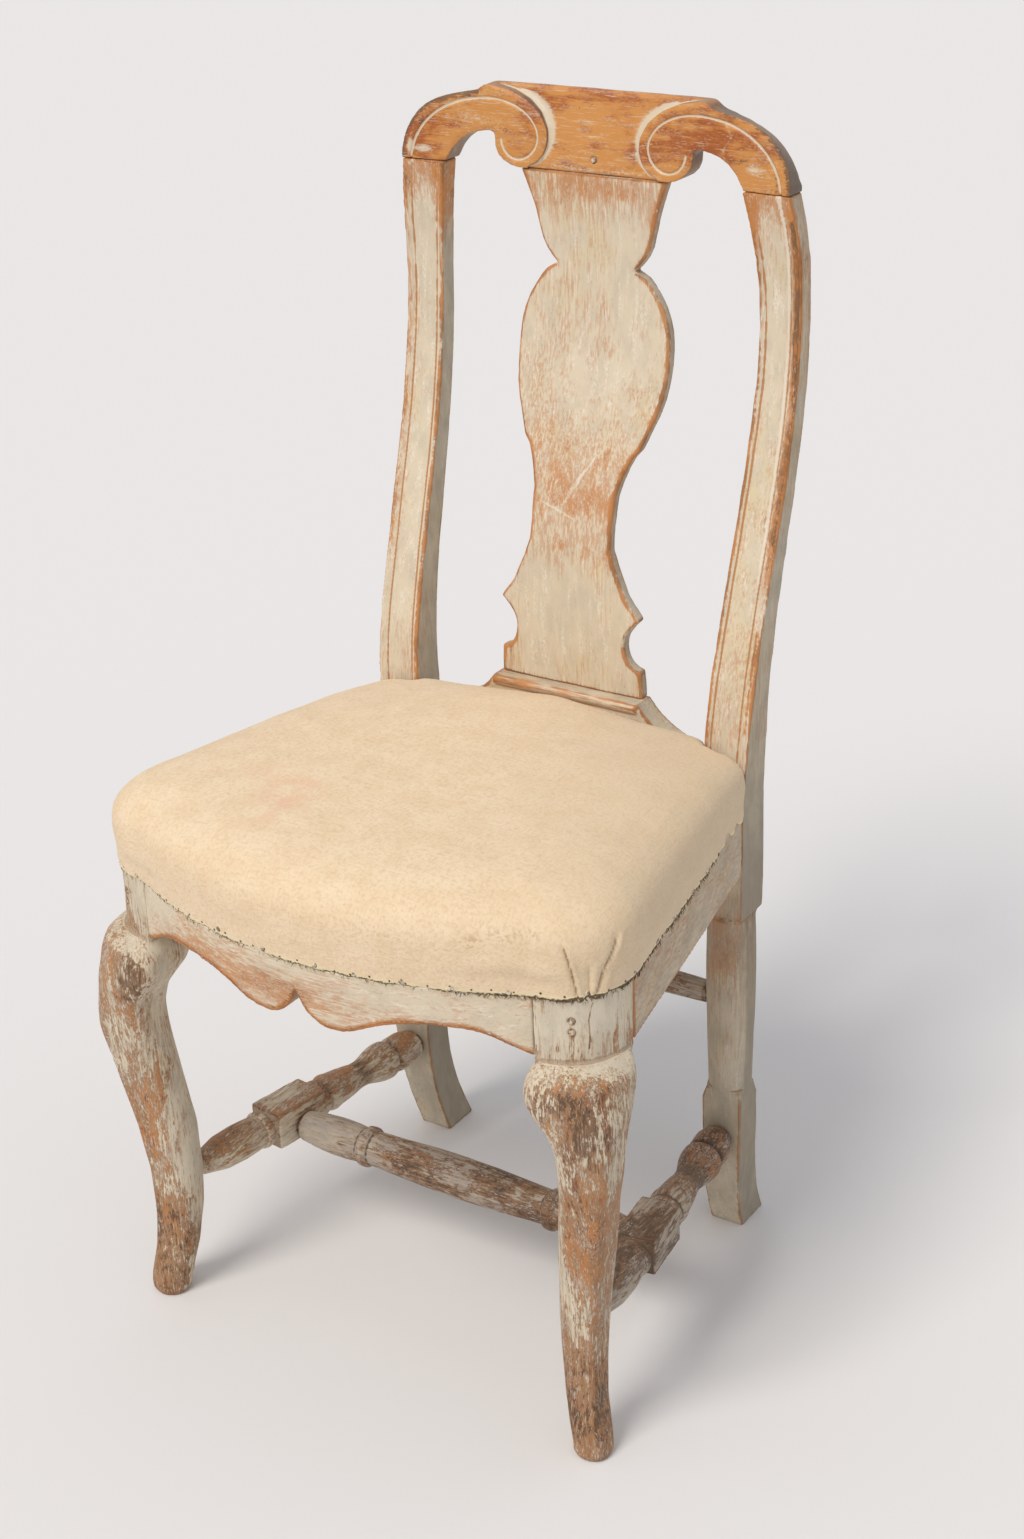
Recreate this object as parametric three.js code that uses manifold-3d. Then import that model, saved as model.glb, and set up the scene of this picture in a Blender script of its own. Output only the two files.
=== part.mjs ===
// A balloon back side chair: raked back posts, a carved crest rail with scrolls, a vase splat in a
// moulded shoe, cabriole front legs, turned stretchers and a stuffed seat over webbing.
// Lengths are in millimetres. While it is built, x runs to the right as seen from the front, y runs
// to the rear from the front of the rear feet, and z runs up from the floor.
import * as THREE from 'three';
import { mergeVertices } from 'three/addons/utils/BufferGeometryUtils.js';
import Module from 'manifold-3d';

const wasm = await Module();
wasm.setup();

// Overall sizes
const seatTop = 442; // top of the seat rails, under the cloth
const crestBase = 936; // joint between back posts and crest rail
const crestRise = 65.5; // crest rail above that joint
const railHeight = 69;
const fit = 0.3; // gap left at every joint
const overrun = 12; // how far a cutter passes through what it cuts

// Seat plan, from the front of the rear feet
const frontReach = 400.5; // middle of the bowed front rail
const frontBow = 46.5; // how far the front rail bows forward of its ends
const seatHalf = 240; // half the width at the front corners
const cornerWidth = 52; // corner block of the front leg
const cornerDepth = 61;
const cornerFlat = 7; // flat side of the block behind its rounded corner
const seamReach = frontReach - frontBow; // where the front rail meets the leg blocks
const seamHalf = seatHalf - cornerWidth; // half the length of the front rail
const sideSeamReach = seamReach - cornerDepth; // where the side rails meet the leg blocks
const cornerReach = sideSeamReach + cornerFlat; // where the corner meets the side
const railThickness = 24;
const frontRailThickness = 28;
const rearRailThickness = 30;
const rearRailSetback = 10; // rear rail's face behind the face of the posts

// Back posts
const postCentre = 165.5;
const postFront = -17.6;
const postWidth = 41;
const postDepth = 42;
const backLean = 84; // how far the back leans behind the seat
const postBow = 7.4; // how far the posts bulge sideways
const postEdge = 3; // rounding of the rear arrises
const shoulderDrop = 47; // square part of the post below the rails
const shoulderHeight = seatTop - railHeight - shoulderDrop;
const hockHeight = 156; // top of the square block that takes the stretchers
const hockChamfer = 11;
const hockReach = 9.6; // block set forward of the post
const footKick = 27; // foot set back from the block
const legSet = 3; // sideways drift of the leg
const turnedRadius = 22;

// Moulding on the face of the posts
const outerBead = 8;
const innerBead = 5;
const grooveWidth = 3;
const grooveDepth = 2;
const fieldHollow = 1.6;
const beadDrop = 1.2;

// Crest rail
const crestThickness = 22.5;
const crestBow = 7; // middle of the crest behind its ends
const crestLean = 4;
const crestEasing = 7; // how far the shoulders are eased at the back
const easingStartShare = 0.15; // where the easing starts in the crest's thickness
const panelHollow = 10; // how far the panel rolls back behind the crest's own lean
const panelSink = 2.2;
const scrollGroove = 1.7; // half width of the carved line
const postTenonWidth = 22;
const postTenonThickness = 8;
const postTenonLength = 22;

// Splat and shoe
const splatHalf = 73.7;
const splatThickness = 12;
const splatEdge = 2;
const splatTenonHalf = 42;
const splatTenonThickness = 6;
const splatTenonLength = 12;
const splatSetback = 29; // splat's foot behind the face of the posts
const splatLean = 56;
const shoeHeight = 59;
const shoeHalf = 73.5; // raised part of the shoe, under the splat
const shoeEndHeight = 22;
const shoeSetback = 18.5; // shoe's face behind the face of the posts
const shoeDepth = 23;
const shoeBead = 4.5;

// Front legs
const ankleInset = 5.5; // ankle inward of the middle of the corner block
const ankleX = (seamHalf + seatHalf) / 2 - ankleInset;
const ankleReach = (seamReach + sideSeamReach) / 2;
const kneeSwing = 17.8; // knee outward from the ankle
const kneeReach = 14; // knee forward from the ankle
const kneeSize = 49;
const blockTenon = 12; // how far the knee's shoulder laps the corner block

// Joints of the seat frame
const frontTenonShare = 0.62; // part of the corner block's width that the front tenon fills
const frontTenonSetback = 22.5; // middle of the front tenon behind the face of the rail's end
const sideTenonLength = 28;
const rearTenonLength = 22;
const tenonThickness = 9;
const tenonShoulder = 10; // rail left above and below each tenon
const pegRadius = 2.4;
const pegSpacing = 10;
const pegPlaceShare = 0.53; // pegs along the corner block's width

// Stretchers
const sideStretcherFront = 116; // height of its axis at the front leg
const sideStretcherRear = 105; // height of its axis at the rear block
const stretcherRadius = 17.3;
const stretcherInset = 5; // rear ends inside the middle of the rear blocks
const stretcherBlock = 36; // square block in the middle
const stretcherTenon = 8; // radius of the round tenons
const stretcherTenonLength = 15;
const crossRadius = 17.5;
const crossHeight = 106;
const rearStretcherHeight = 241;
const rearStretcherRadius = 11.8;

// Seat
const webWidth = 48;
const webThickness = 1.2;
const webInset = 4; // ends of the webbing inside the rails' outer edge
const sheetThickness = 1;
const clothThickness = 1.5;
const clothLap = 17; // how far the cover comes down over the rails
const clothEdge = seatTop - clothLap;
const seatRise = 83; // crown above the cover's lower edge
const seatBulge = 4.5;
const crownReach = 196; // highest point of the seat in front of the rear feet
const seatRear = 7; // rear edge of the seat's dome, behind the shoe's face
const dipShare = 0.17; // how much lower the seat is at the posts
const dipReach = 75;

// Facets
const turnedSides = 16;
const pegSides = 10;
const bowSteps = 7; // flats along half of the bowed front

const paint = { color: 0xc5bfae, roughness: 0.75, metalness: 0 };
const wornWood = { color: 0xb5733f, roughness: 0.65, metalness: 0 };
const brownWood = { color: 0x8a6a52, roughness: 0.7, metalness: 0 };
const calico = { color: 0xe3cfa9, roughness: 0.95, metalness: 0 };
const hessian = { color: 0xa88a5e, roughness: 1, metalness: 0 };
const linen = { color: 0xb79f76, roughness: 1, metalness: 0 };

const chair = new THREE.Group();

function add(name, finish, geometry) {
  const flat = geometry.index ? geometry.toNonIndexed() : geometry;
  flat.computeVertexNormals();
  const mesh = new THREE.Mesh(flat, new THREE.MeshStandardMaterial(finish));
  mesh.name = name;
  chair.add(mesh);
}

// Joining and cutting

function solid(geometry) {
  const bare = geometry.clone();
  bare.deleteAttribute('normal');
  bare.deleteAttribute('uv');
  const welded = mergeVertices(bare);
  const vertProperties = new Float32Array(welded.attributes.position.array);
  const triVerts = new Uint32Array(welded.index.array);
  return new wasm.Manifold(new wasm.Mesh({ numProp: 3, vertProperties, triVerts }));
}

function geometryOf(body) {
  const mesh = body.getMesh();
  const geometry = new THREE.BufferGeometry();
  geometry.setAttribute('position', new THREE.BufferAttribute(mesh.vertProperties, 3));
  geometry.setIndex(new THREE.BufferAttribute(mesh.triVerts, 1));
  return geometry;
}

const cut = (body, cutters) => cutters.reduce((rest, cutter) => rest.subtract(solid(cutter)), body);
const join = (body, extras) => extras.reduce((whole, extra) => whole.add(solid(extra)), body);

function mirrored(geometry) {
  const copy = geometry.clone().scale(-1, 1, 1);
  const order = copy.index.array;
  for (let i = 0; i < order.length; i += 3) {
    [order[i + 1], order[i + 2]] = [order[i + 2], order[i + 1]];
  }
  return copy;
}

// Shapes

// Skin over a stack of rings that have the same number of points, closed by a fan at each end.
function loft(rings) {
  const count = rings[0].length;
  const points = rings.flat();
  const faces = [];
  rings.slice(1).forEach((ring, r) => {
    ring.forEach((point, i) => {
      const a = r * count + i;
      const b = r * count + ((i + 1) % count);
      faces.push(a, b, b + count, a, b + count, a + count);
    });
  });
  const middle = (ring) => ring.reduce((sum, p) => sum.add(p), new THREE.Vector3()).divideScalar(count);
  points.push(middle(rings[0]), middle(rings[rings.length - 1]));
  const first = points.length - 2;
  const last = points.length - 1;
  const top = (rings.length - 1) * count;
  rings[0].forEach((point, i) => {
    const next = (i + 1) % count;
    faces.push(first, next, i, last, top + i, top + next);
  });
  const geometry = new THREE.BufferGeometry().setFromPoints(points);
  geometry.setIndex(faces);
  return geometry;
}

function box(x0, x1, y0, y1, z0, z1) {
  const geometry = new THREE.BoxGeometry(x1 - x0, y1 - y0, z1 - z0);
  return geometry.translate((x0 + x1) / 2, (y0 + y1) / 2, (z0 + z1) / 2);
}

// Plate with an outline in x and y, standing from z0 to z1.
function standing(outline, z0, z1) {
  const shape = new THREE.Shape(outline);
  const geometry = new THREE.ExtrudeGeometry(shape, { depth: z1 - z0, bevelEnabled: false });
  return geometry.translate(0, 0, z0);
}

// Plate with an outline in x and z, running back from y0 to y1.
function facing(outline, y0, y1) {
  const shape = new THREE.Shape(outline);
  const geometry = new THREE.ExtrudeGeometry(shape, { depth: y1 - y0, bevelEnabled: false });
  return geometry.rotateX(Math.PI / 2).translate(0, y1, 0);
}

function rod(radius, from, to, sides) {
  const length = from.distanceTo(to);
  const geometry = new THREE.CylinderGeometry(radius, radius, length, sides);
  return along(geometry, from, to);
}

// Turns a shape made about the y axis, and centred on it, to lie between two points.
function along(geometry, from, to) {
  const direction = to.clone().sub(from).normalize();
  const turn = new THREE.Quaternion().setFromUnitVectors(new THREE.Vector3(0, 1, 0), direction);
  const middle = from.clone().add(to).divideScalar(2);
  return geometry.applyQuaternion(turn).translate(middle.x, middle.y, middle.z);
}

const vec = (x, y, z) => new THREE.Vector3(x, y, z);
const mix = THREE.MathUtils.lerp;

// Smooth reading of a table whose first column is the place and whose others are shares.
function track(rows) {
  const places = rows.map((row) => row[0]);
  const size = rows[0].length - 1;
  const reader = new THREE.CubicInterpolant(places, rows.flatMap((row) => row.slice(1)), size);
  return (place) => [...reader.evaluate(place)];
}

// Back posts, each in one piece with its rear leg

const backRise = crestBase - seatTop;
const backSteps = 19;
const postMid = postFront + postDepth / 2;

// height above the seat, lean, bow, width, depth
const backShares = [
  [0, 0, 0, 1, 1],
  [0.15, 0.08, 0.36, 1.01, 0.84],
  [0.28, 0.27, 0.51, 0.98, 0.71],
  [0.415, 0.516, 0.68, 0.97, 0.62],
  [0.55, 0.753, 0.84, 0.955, 0.56],
  [0.685, 0.935, 1, 0.92, 0.52],
  [0.82, 1, 0.97, 0.925, 0.5],
  [0.92, 0.965, 0.61, 1.02, 0.51],
  [1, 0.897, -0.26, 1.035, 0.55],
];
const backAt = track(backShares);

// height within the block, kick of the foot, set of the leg, width, depth
const footShares = [
  [0, 1, -1.2, 0.8, 0.98],
  [0.14, 0.7, -0.9, 0.81, 0.94],
  [0.3, 0.4, -0.4, 0.84, 0.89],
  [0.5, 0.17, 0.3, 0.88, 0.85],
  [0.72, 0.04, 0.8, 0.92, 0.83],
  [1, 0, 1, 0.94, 0.82],
];

// height between block and shoulder, radius
const turnedShares = [
  [0, 0.885],
  [0.12, 0.9],
  [0.3, 0.95],
  [0.5, 0.99],
  [0.7, 1],
  [0.88, 0.985],
  [1, 0.96],
];

// Section of a post with its face towards the front; mould fades its moulding in.
function postSection(z, x, y, width, depth, mould) {
  const half = width / 2;
  const front = [
    [-half, beadDrop],
    [-half + innerBead / 2, 0],
    [-half + innerBead, beadDrop],
    [-half + innerBead + grooveWidth / 2, grooveDepth],
    [-half + innerBead + grooveWidth, beadDrop],
    [(innerBead - outerBead) / 2, fieldHollow],
    [half - outerBead - grooveWidth, beadDrop],
    [half - outerBead - grooveWidth / 2, grooveDepth],
    [half - outerBead, beadDrop],
    [half - outerBead / 2, 0],
    [half, beadDrop],
  ].map(([across, relief]) => vec(x + across, y - depth / 2 + relief * mould, z));
  const back = half - postEdge;
  const rear = depth / 2 - postEdge;
  const rest = [
    [half, -depth / 4],
    [half, 0],
    [half, depth / 4],
    [half, rear],
    [back, depth / 2],
    [0, depth / 2],
    [-back, depth / 2],
    [-half, rear],
    [-half, depth / 4],
    [-half, 0],
    [-half, -depth / 4],
  ].map(([across, behind]) => vec(x + across, y + behind, z));
  return [...front, ...rest];
}

// The same points gathered on a circle: a quarter turn for the face, the rest evenly behind it.
function turnedSection(z, x, y, radius) {
  const faceSteps = 10;
  const restSteps = 12;
  const faceStart = -0.75 * Math.PI;
  const faceEnd = -0.25 * Math.PI;
  const angles = [];
  for (let i = 0; i <= faceSteps; i++) angles.push(mix(faceStart, faceEnd, i / faceSteps));
  for (let i = 1; i < restSteps; i++) angles.push(mix(faceEnd, faceStart + 2 * Math.PI, i / restSteps));
  return angles.map((a) => vec(x + radius * Math.cos(a), y + radius * Math.sin(a), z));
}

const blend = (one, other, share) => one.map((point, i) => point.clone().lerp(other[i], share));

function backSection(share, grow, mould) {
  const [lean, bow, width, depth] = backAt(share);
  const x = postCentre + postBow * bow;
  const y = postFront + backLean * lean + (postDepth * depth) / 2;
  const z = seatTop + backRise * share;
  return postSection(z, x, y, postWidth * width + 2 * grow, postDepth * depth + 2 * grow, mould);
}

const turnedLean = (share) => mix(hockReach, hockReach / 2, share);

function post() {
  const rings = [];
  const footAt = track(footShares);
  const footSteps = 7;
  const blockTop = hockHeight - hockChamfer;
  for (let i = 0; i <= footSteps; i++) {
    const [kick, set, width, depth] = footAt(i / footSteps);
    const x = postCentre + legSet * set;
    const y = postMid - hockReach + footKick * kick;
    rings.push(postSection(blockTop * (i / footSteps), x, y, postWidth * width, postDepth * depth, 0));
  }
  const legX = postCentre + legSet;
  const startRadius = turnedRadius * turnedShares[0][1];
  const circle = turnedSection(hockHeight, legX, postMid - hockReach, startRadius);
  const square = postSection(hockHeight, legX, postMid - hockReach, 2 * startRadius, 2 * startRadius, 0);
  rings.push(blend(square, circle, 0.7));
  turnedShares.forEach(([rise, swell]) => {
    const z = mix(hockHeight, shoulderHeight, rise);
    const x = postCentre + legSet * mix(1, 0.5, rise);
    rings.push(turnedSection(z, x, postMid - turnedLean(rise), turnedRadius * swell));
  });
  const shoulderY = postMid - turnedLean(1) / 2;
  rings.push(postSection(shoulderHeight, postCentre, shoulderY, postWidth * 0.9, postDepth * 0.9, 0));
  rings.push(postSection(shoulderHeight + postEdge, postCentre, shoulderY, postWidth, postDepth, 0));
  rings.push(postSection(seatTop - railHeight, postCentre, postMid, postWidth, postDepth, 0));
  for (let i = 0; i <= backSteps; i++) rings.push(backSection(i / backSteps, 0, i ? 1 : 0));
  const top = rings[rings.length - 1];
  const flush = top.map((p) => vec(p.x, p.y, crestBase - fit));
  rings[rings.length - 1] = flush;
  return loft(rings);
}

// Middle of the post's top, where its tenon rises into the crest rail.
const [topLean, topBow, topWidth, topDepth] = backAt(1);
const postTopX = postCentre + postBow * topBow;
const postTopFront = postFront + backLean * topLean;
const postTopY = postTopFront + (postDepth * topDepth) / 2;

function postTenon(gap) {
  const half = postTenonWidth / 2 + gap;
  const thick = postTenonThickness / 2 + gap;
  const top = crestBase + postTenonLength + gap;
  return box(postTopX - half, postTopX + half, postTopY - thick, postTopY + thick, crestBase - overrun, top);
}

// Tenons of the seat rails, larger by the gap where they cut their mortises

const railBottom = seatTop - railHeight;
const tenonBottom = railBottom + tenonShoulder;
const tenonTop = seatTop - tenonShoulder;
const bowAt = (x) => -mix(frontReach, seamReach, (x / seamHalf) ** 2);
const sideRailAxis = postCentre + postWidth / 2 - railThickness / 2;

function frontTenon(gap) {
  const middle = -seamReach + frontTenonSetback;
  const half = tenonThickness / 2 + gap;
  const tip = seamHalf + cornerWidth * frontTenonShare + gap;
  return box(seamHalf - overrun, tip, middle - half, middle + half, tenonBottom - gap, tenonTop + gap);
}

function sideFrontTenon(gap) {
  const middle = seatHalf - railThickness / 2;
  const half = tenonThickness / 2 + gap;
  const tip = -sideSeamReach - sideTenonLength - gap;
  return box(middle - half, middle + half, tip, -sideSeamReach + overrun, tenonBottom - gap, tenonTop + gap);
}

function sideRearTenon(gap) {
  const half = tenonThickness / 2 + gap;
  const tip = postFront + sideTenonLength + gap;
  const middle = sideRailAxis;
  return box(middle - half, middle + half, postFront - overrun, tip, tenonBottom - gap, tenonTop + gap);
}

const rearRailFront = postFront + rearRailSetback;
const rearRailBack = rearRailFront + rearRailThickness;
const postInner = postCentre - postWidth / 2;

function rearTenon(gap) {
  const middle = (rearRailFront + rearRailBack) / 2;
  const half = tenonThickness / 2 + gap;
  const tip = postInner + rearTenonLength / 2 + gap;
  return box(postInner - overrun, tip, middle - half, middle + half, tenonBottom - gap, tenonTop + gap);
}

// Stretcher ends

const sideFrom = vec(ankleX, -ankleReach, sideStretcherFront);
const sideTo = vec(postCentre + legSet - stretcherInset, postMid - hockReach, sideStretcherRear);
const sideLength = sideFrom.distanceTo(sideTo);
const sideAt = (distance) => sideFrom.clone().lerp(sideTo, distance / sideLength);
const ankleHalf = (kneeSize * 0.8) / 2;
const blockHalf = (postDepth * footShares[4][4]) / 2;
const sideSlant = Math.hypot(sideTo.x - sideFrom.x, sideTo.z - sideFrom.z) / sideLength;
const shoulderRelief = fit + stretcherRadius * sideSlant; // a square shoulder against a slanting face
const sideStart = ankleHalf - stretcherTenonLength;
const sideEnd = sideLength - blockHalf + stretcherTenonLength;
const sideTenons = (gap) => rod(stretcherTenon + gap, sideAt(sideStart - gap), sideAt(sideEnd + gap), turnedSides);

const rearStretcherShare = (rearStretcherHeight - hockHeight) / (shoulderHeight - hockHeight);
const rearStretcherY = postMid - turnedLean(rearStretcherShare);
const rearLegX = postCentre + legSet * mix(1, 0.5, rearStretcherShare);
const rearStretcherEnd = rearLegX - turnedRadius + stretcherTenonLength;

function rearStretcherTenons(gap) {
  const end = rearStretcherEnd + gap;
  const from = vec(-end, rearStretcherY, rearStretcherHeight);
  return rod(stretcherTenon + gap, from, vec(end, rearStretcherY, rearStretcherHeight), turnedSides);
}

const postBody = cut(join(solid(post()), [postTenon(0)]), [
  sideRearTenon(fit),
  rearTenon(fit),
  sideTenons(fit),
  rearStretcherTenons(fit),
]);
add('rear_post_right', paint, geometryOf(postBody));
add('rear_post_left', paint, mirrored(geometryOf(postBody)));

// Crest rail: a bowed slab with shoulders and scrolls, a hollowed panel and a carved line

const crestHalf = postTopX + (postWidth * topWidth) / 2;
const crestInner = postTopX - (postWidth * topWidth) / 2;

// Half outline as shares of the crest's half length and rise, from the middle of the lower edge.
const scrollShares = [
  [0.38, 0],
  [0.424, 0.023],
  [0.46, 0.07],
  [0.49, 0.145],
  [0.508, 0.25],
  [0.511, 0.41],
];
const underShares = [
  [0.535, 0.43],
  [0.6, 0.405],
  [0.65, 0.36],
  [0.695, 0.28],
  [0.735, 0.165],
  [0.76, 0.045],
];
const shoulderShares = [
  [1, 0.14],
  [0.985, 0.32],
  [0.955, 0.48],
  [0.917, 0.615],
  [0.87, 0.72],
  [0.81, 0.8],
  [0.74, 0.86],
  [0.66, 0.905],
  [0.597, 0.93],
  [0.583, 0.97],
  [0.565, 1],
];
const panelEdgeShares = [
  [0.335, -0.1],
  [0.335, 0.02],
  [0.292, 0.08],
  [0.254, 0.19],
  [0.235, 0.34],
  [0.24, 0.5],
  [0.278, 0.69],
  [0.345, 0.84],
  [0.43, 0.94],
  [0.52, 0.985],
  [0.6, 1.02],
  [0.6, 1.2],
];
const grooveShares = [
  [0.955, -0.1],
  [0.95, 0.06],
  [0.933, 0.23],
  [0.892, 0.42],
  [0.824, 0.6],
  [0.715, 0.755],
  [0.605, 0.82],
  [0.5, 0.83],
  [0.4, 0.765],
  [0.325, 0.63],
  [0.285, 0.44],
  [0.293, 0.28],
  [0.33, 0.155],
  [0.386, 0.1],
  [0.438, 0.145],
  [0.468, 0.25],
  [0.476, 0.36],
];
const hollowShares = [
  [0, 0],
  [0.15, 0.03],
  [0.32, 0.15],
  [0.52, 0.36],
  [0.75, 0.66],
  [1, 1],
];

const crestPoint = ([across, rise]) => new THREE.Vector2(across * crestHalf, crestBase + rise * crestRise);
const both = (half) => [...half, ...half.map((p) => new THREE.Vector2(-p.x, p.y)).reverse()];
const crestFrontAt = (x) => postTopFront + crestBow * (1 - (x / crestHalf) ** 2);
const crestLeanAt = (z) => (crestLean * (z - crestBase)) / crestRise;

function crestSlab() {
  const steps = 14;
  const xs = [];
  for (let i = 0; i <= steps; i++) xs.push(mix(-crestHalf - overrun, crestHalf + overrun, i / steps));
  const front = xs.map((x) => new THREE.Vector2(x, crestFrontAt(x)));
  const back = xs.map((x) => new THREE.Vector2(x, crestFrontAt(x) + crestThickness)).reverse();
  const slab = standing([...front, ...back], 0, crestRise + 2 * overrun);
  const lean = new THREE.Matrix4().makeShear(0, 0, 0, 0, 0, crestLean / crestRise);
  return slab.translate(0, 0, -overrun).applyMatrix4(lean).translate(0, 0, crestBase);
}

function crestOutline() {
  const joint = [new THREE.Vector2(crestInner, crestBase), new THREE.Vector2(crestHalf, crestBase)];
  const half = [
    ...scrollShares.map(crestPoint),
    ...underShares.map(crestPoint),
    ...joint,
    ...shoulderShares.map(crestPoint),
  ];
  return facing(both(half), postTopFront - overrun, postTopFront + crestThickness + 2 * overrun);
}

// Wedge that eases the back of a shoulder, deepest where the shoulder turns.
function shoulderEasing() {
  const outline = [[1, 0], ...shoulderShares.slice(0, -2)].map(crestPoint);
  const back = postTopFront + crestThickness + crestBow + overrun;
  const rings = outline.map((p, i) => {
    const before = outline[Math.max(i - 1, 0)];
    const after = outline[Math.min(i + 1, outline.length - 1)];
    const away = new THREE.Vector2(after.y - before.y, before.x - after.x).normalize();
    const depth = crestEasing * Math.sin((Math.PI * i) / (outline.length - 1));
    const front = crestFrontAt(p.x) + crestThickness * easingStartShare;
    const rear = crestFrontAt(p.x) + crestThickness + crestLean;
    const deep = depth * (1 + (back - rear) / (rear - front));
    const reach = (along, y) => vec(p.x + away.x * along, y, p.y + away.y * along);
    return [reach(0, front), reach(overrun, front), reach(overrun, back), reach(-deep, back)];
  });
  return loft(rings);
}

// What the carver takes out between the scrolls: a hollow that rolls back towards the top.
function panelCutter() {
  const start = crestFrontAt(0) + panelSink;
  const profile = hollowShares.map(([rise, roll]) => {
    const z = crestBase + rise * crestRise;
    return new THREE.Vector2(z, start + crestLeanAt(z) + panelHollow * roll);
  });
  const above = new THREE.Vector2(crestBase + crestRise + overrun, start + crestLean + panelHollow);
  const below = new THREE.Vector2(crestBase - overrun, start);
  const before = postTopFront - overrun;
  const outline = [
    new THREE.Vector2(below.x, before),
    below,
    ...profile,
    above,
    new THREE.Vector2(above.x, before),
  ];
  const shape = new THREE.Shape(outline);
  const length = 2 * crestHalf;
  const bar = new THREE.ExtrudeGeometry(shape, { depth: length, bevelEnabled: false });
  bar.rotateY(-Math.PI / 2).translate(length / 2, 0, 0);
  const region = facing(both(panelEdgeShares.map(crestPoint)), before, before + 3 * crestThickness);
  return { bar, region };
}

function grooveCutter() {
  const points = grooveShares.map((share) => {
    const { x, y: z } = crestPoint(share);
    return vec(x, crestFrontAt(x) + crestLeanAt(z), z);
  });
  const path = new THREE.CatmullRomCurve3(points);
  const section = new THREE.Shape(new THREE.Path().absarc(0, 0, scrollGroove, 0, 2 * Math.PI).getSpacedPoints(6));
  return new THREE.ExtrudeGeometry(section, { steps: 44, extrudePath: path, bevelEnabled: false });
}

const panel = panelCutter();
const groove = grooveCutter();
const panelPeg = { z: crestBase + 0.17 * crestRise, front: crestFrontAt(0) + panelSink };

function splatPeg(gap) {
  const z = panelPeg.z;
  const from = vec(0, panelPeg.front + fit - gap * overrun, z);
  return rod(pegRadius + gap, from, vec(0, panelPeg.front + crestThickness - pegRadius, z), pegSides);
}

// Splat: a vase outline cut in a board that leans with the posts

const splatFoot = seatTop + shoeHeight;
const splatTop = crestBase - fit;
const splatRise = splatTop - splatFoot;

// Each run is smooth; runs meet at the sharp points of the outline. Height and half width.
const splatRunShares = [
  [[0, 0.97], [0.03, 0.965], [0.056, 0.955]],
  [[0.056, 0.955], [0.064, 0.84], [0.08, 0.772], [0.1, 0.745], [0.12, 0.752], [0.142, 0.815], [0.165, 0.945]],
  [[0.168, 0.945], [0.186, 0.85], [0.206, 0.765], [0.25, 0.655], [0.296, 0.55], [0.36, 0.538], [0.4, 0.547]],
  [[0.4, 0.547], [0.43, 0.59], [0.46, 0.655], [0.476, 0.7]],
  [[0.476, 0.735], [0.5, 0.8], [0.53, 0.86], [0.572, 0.95], [0.62, 0.992], [0.665, 1], [0.71, 0.975]],
  [[0.71, 0.975], [0.75, 0.905], [0.79, 0.76], [0.812, 0.64], [0.822, 0.5]],
  [[0.822, 0.5], [0.843, 0.62], [0.873, 0.715], [0.92, 0.78], [0.96, 0.86], [1, 0.95]],
];

// height, lean
const splatLeanShares = [
  [0, 0.02],
  [0.17, 0],
  [0.29, 0.045],
  [0.4, 0.22],
  [0.53, 0.58],
  [0.66, 0.87],
  [0.79, 0.99],
  [0.89, 1],
  [1, 0.965],
];
const splatLeanAt = track(splatLeanShares);
const splatFrontAt = (share) => postFront + splatSetback + splatLean * splatLeanAt(share)[0];

function splatSection(z, front, half, thickness, edge) {
  const back = front + thickness;
  return [
    vec(-half, front + edge, z),
    vec(-half + edge, front, z),
    vec(half - edge, front, z),
    vec(half, front + edge, z),
    vec(half, back - edge, z),
    vec(half - edge, back, z),
    vec(-half + edge, back, z),
    vec(-half, back - edge, z),
  ];
}

// The tenon is in the middle of the board at its foot, and near its back under the hollow panel.
function splatTenonFront(share) {
  const spare = splatThickness - splatTenonThickness;
  return splatFrontAt(share) + (share ? spare - splatEdge / 2 : spare / 2);
}

function splatTenonRings(base, tip, share) {
  const front = splatTenonFront(share);
  const edge = splatEdge / 4;
  const ends = [tip, base].map((z) => splatSection(z, front, splatTenonHalf, splatTenonThickness, edge));
  return share ? ends.reverse() : ends;
}

function splat() {
  const runs = splatRunShares.map((run) => new THREE.SplineCurve(run.map((p) => new THREE.Vector2(...p))));
  const outline = runs.flatMap((run, i) => run.getPoints(splatRunShares[i].length + 2).slice(i ? 1 : 0));
  const rising = outline.filter((p, i) => !i || p.x > outline[i - 1].x);
  const rings = rising.map(({ x: share, y: halfShare }) => {
    const z = splatFoot + fit + (splatRise - fit) * share;
    return splatSection(z, splatFrontAt(share), halfShare * splatHalf, splatThickness, splatEdge);
  });
  const foot = splatTenonRings(splatFoot + fit, splatFoot - splatTenonLength, 0);
  const head = splatTenonRings(splatTop, splatTop + splatTenonLength, 1);
  return loft([...foot, ...rings, ...head]);
}

function splatMortise(share) {
  const front = splatTenonFront(share) - fit;
  const back = front + splatTenonThickness + 2 * fit;
  const half = splatTenonHalf + fit;
  const low = share ? splatTop - overrun : splatFoot - splatTenonLength - fit;
  const high = share ? splatTop + splatTenonLength + fit : splatFoot + overrun;
  return box(-half, half, front, back, low, high);
}

const crestBody = solid(crestSlab()).intersect(solid(crestOutline()));
const carved = crestBody.subtract(solid(panel.bar).intersect(solid(panel.region)));
const easing = shoulderEasing();
const crest = cut(carved, [
  easing,
  mirrored(easing),
  groove,
  mirrored(mergeVertices(groove)),
  postTenon(fit),
  mirrored(postTenon(fit)),
  splatMortise(1),
  splatPeg(fit),
]);
add('crest_rail', wornWood, geometryOf(crest));
add('splat', paint, geometryOf(cut(solid(splat()), [splatPeg(fit)])));
add('splat_peg', brownWood, splatPeg(0));

// Shoe: a block on the rear rail that takes the splat, with hollowed ends and a bead

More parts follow.
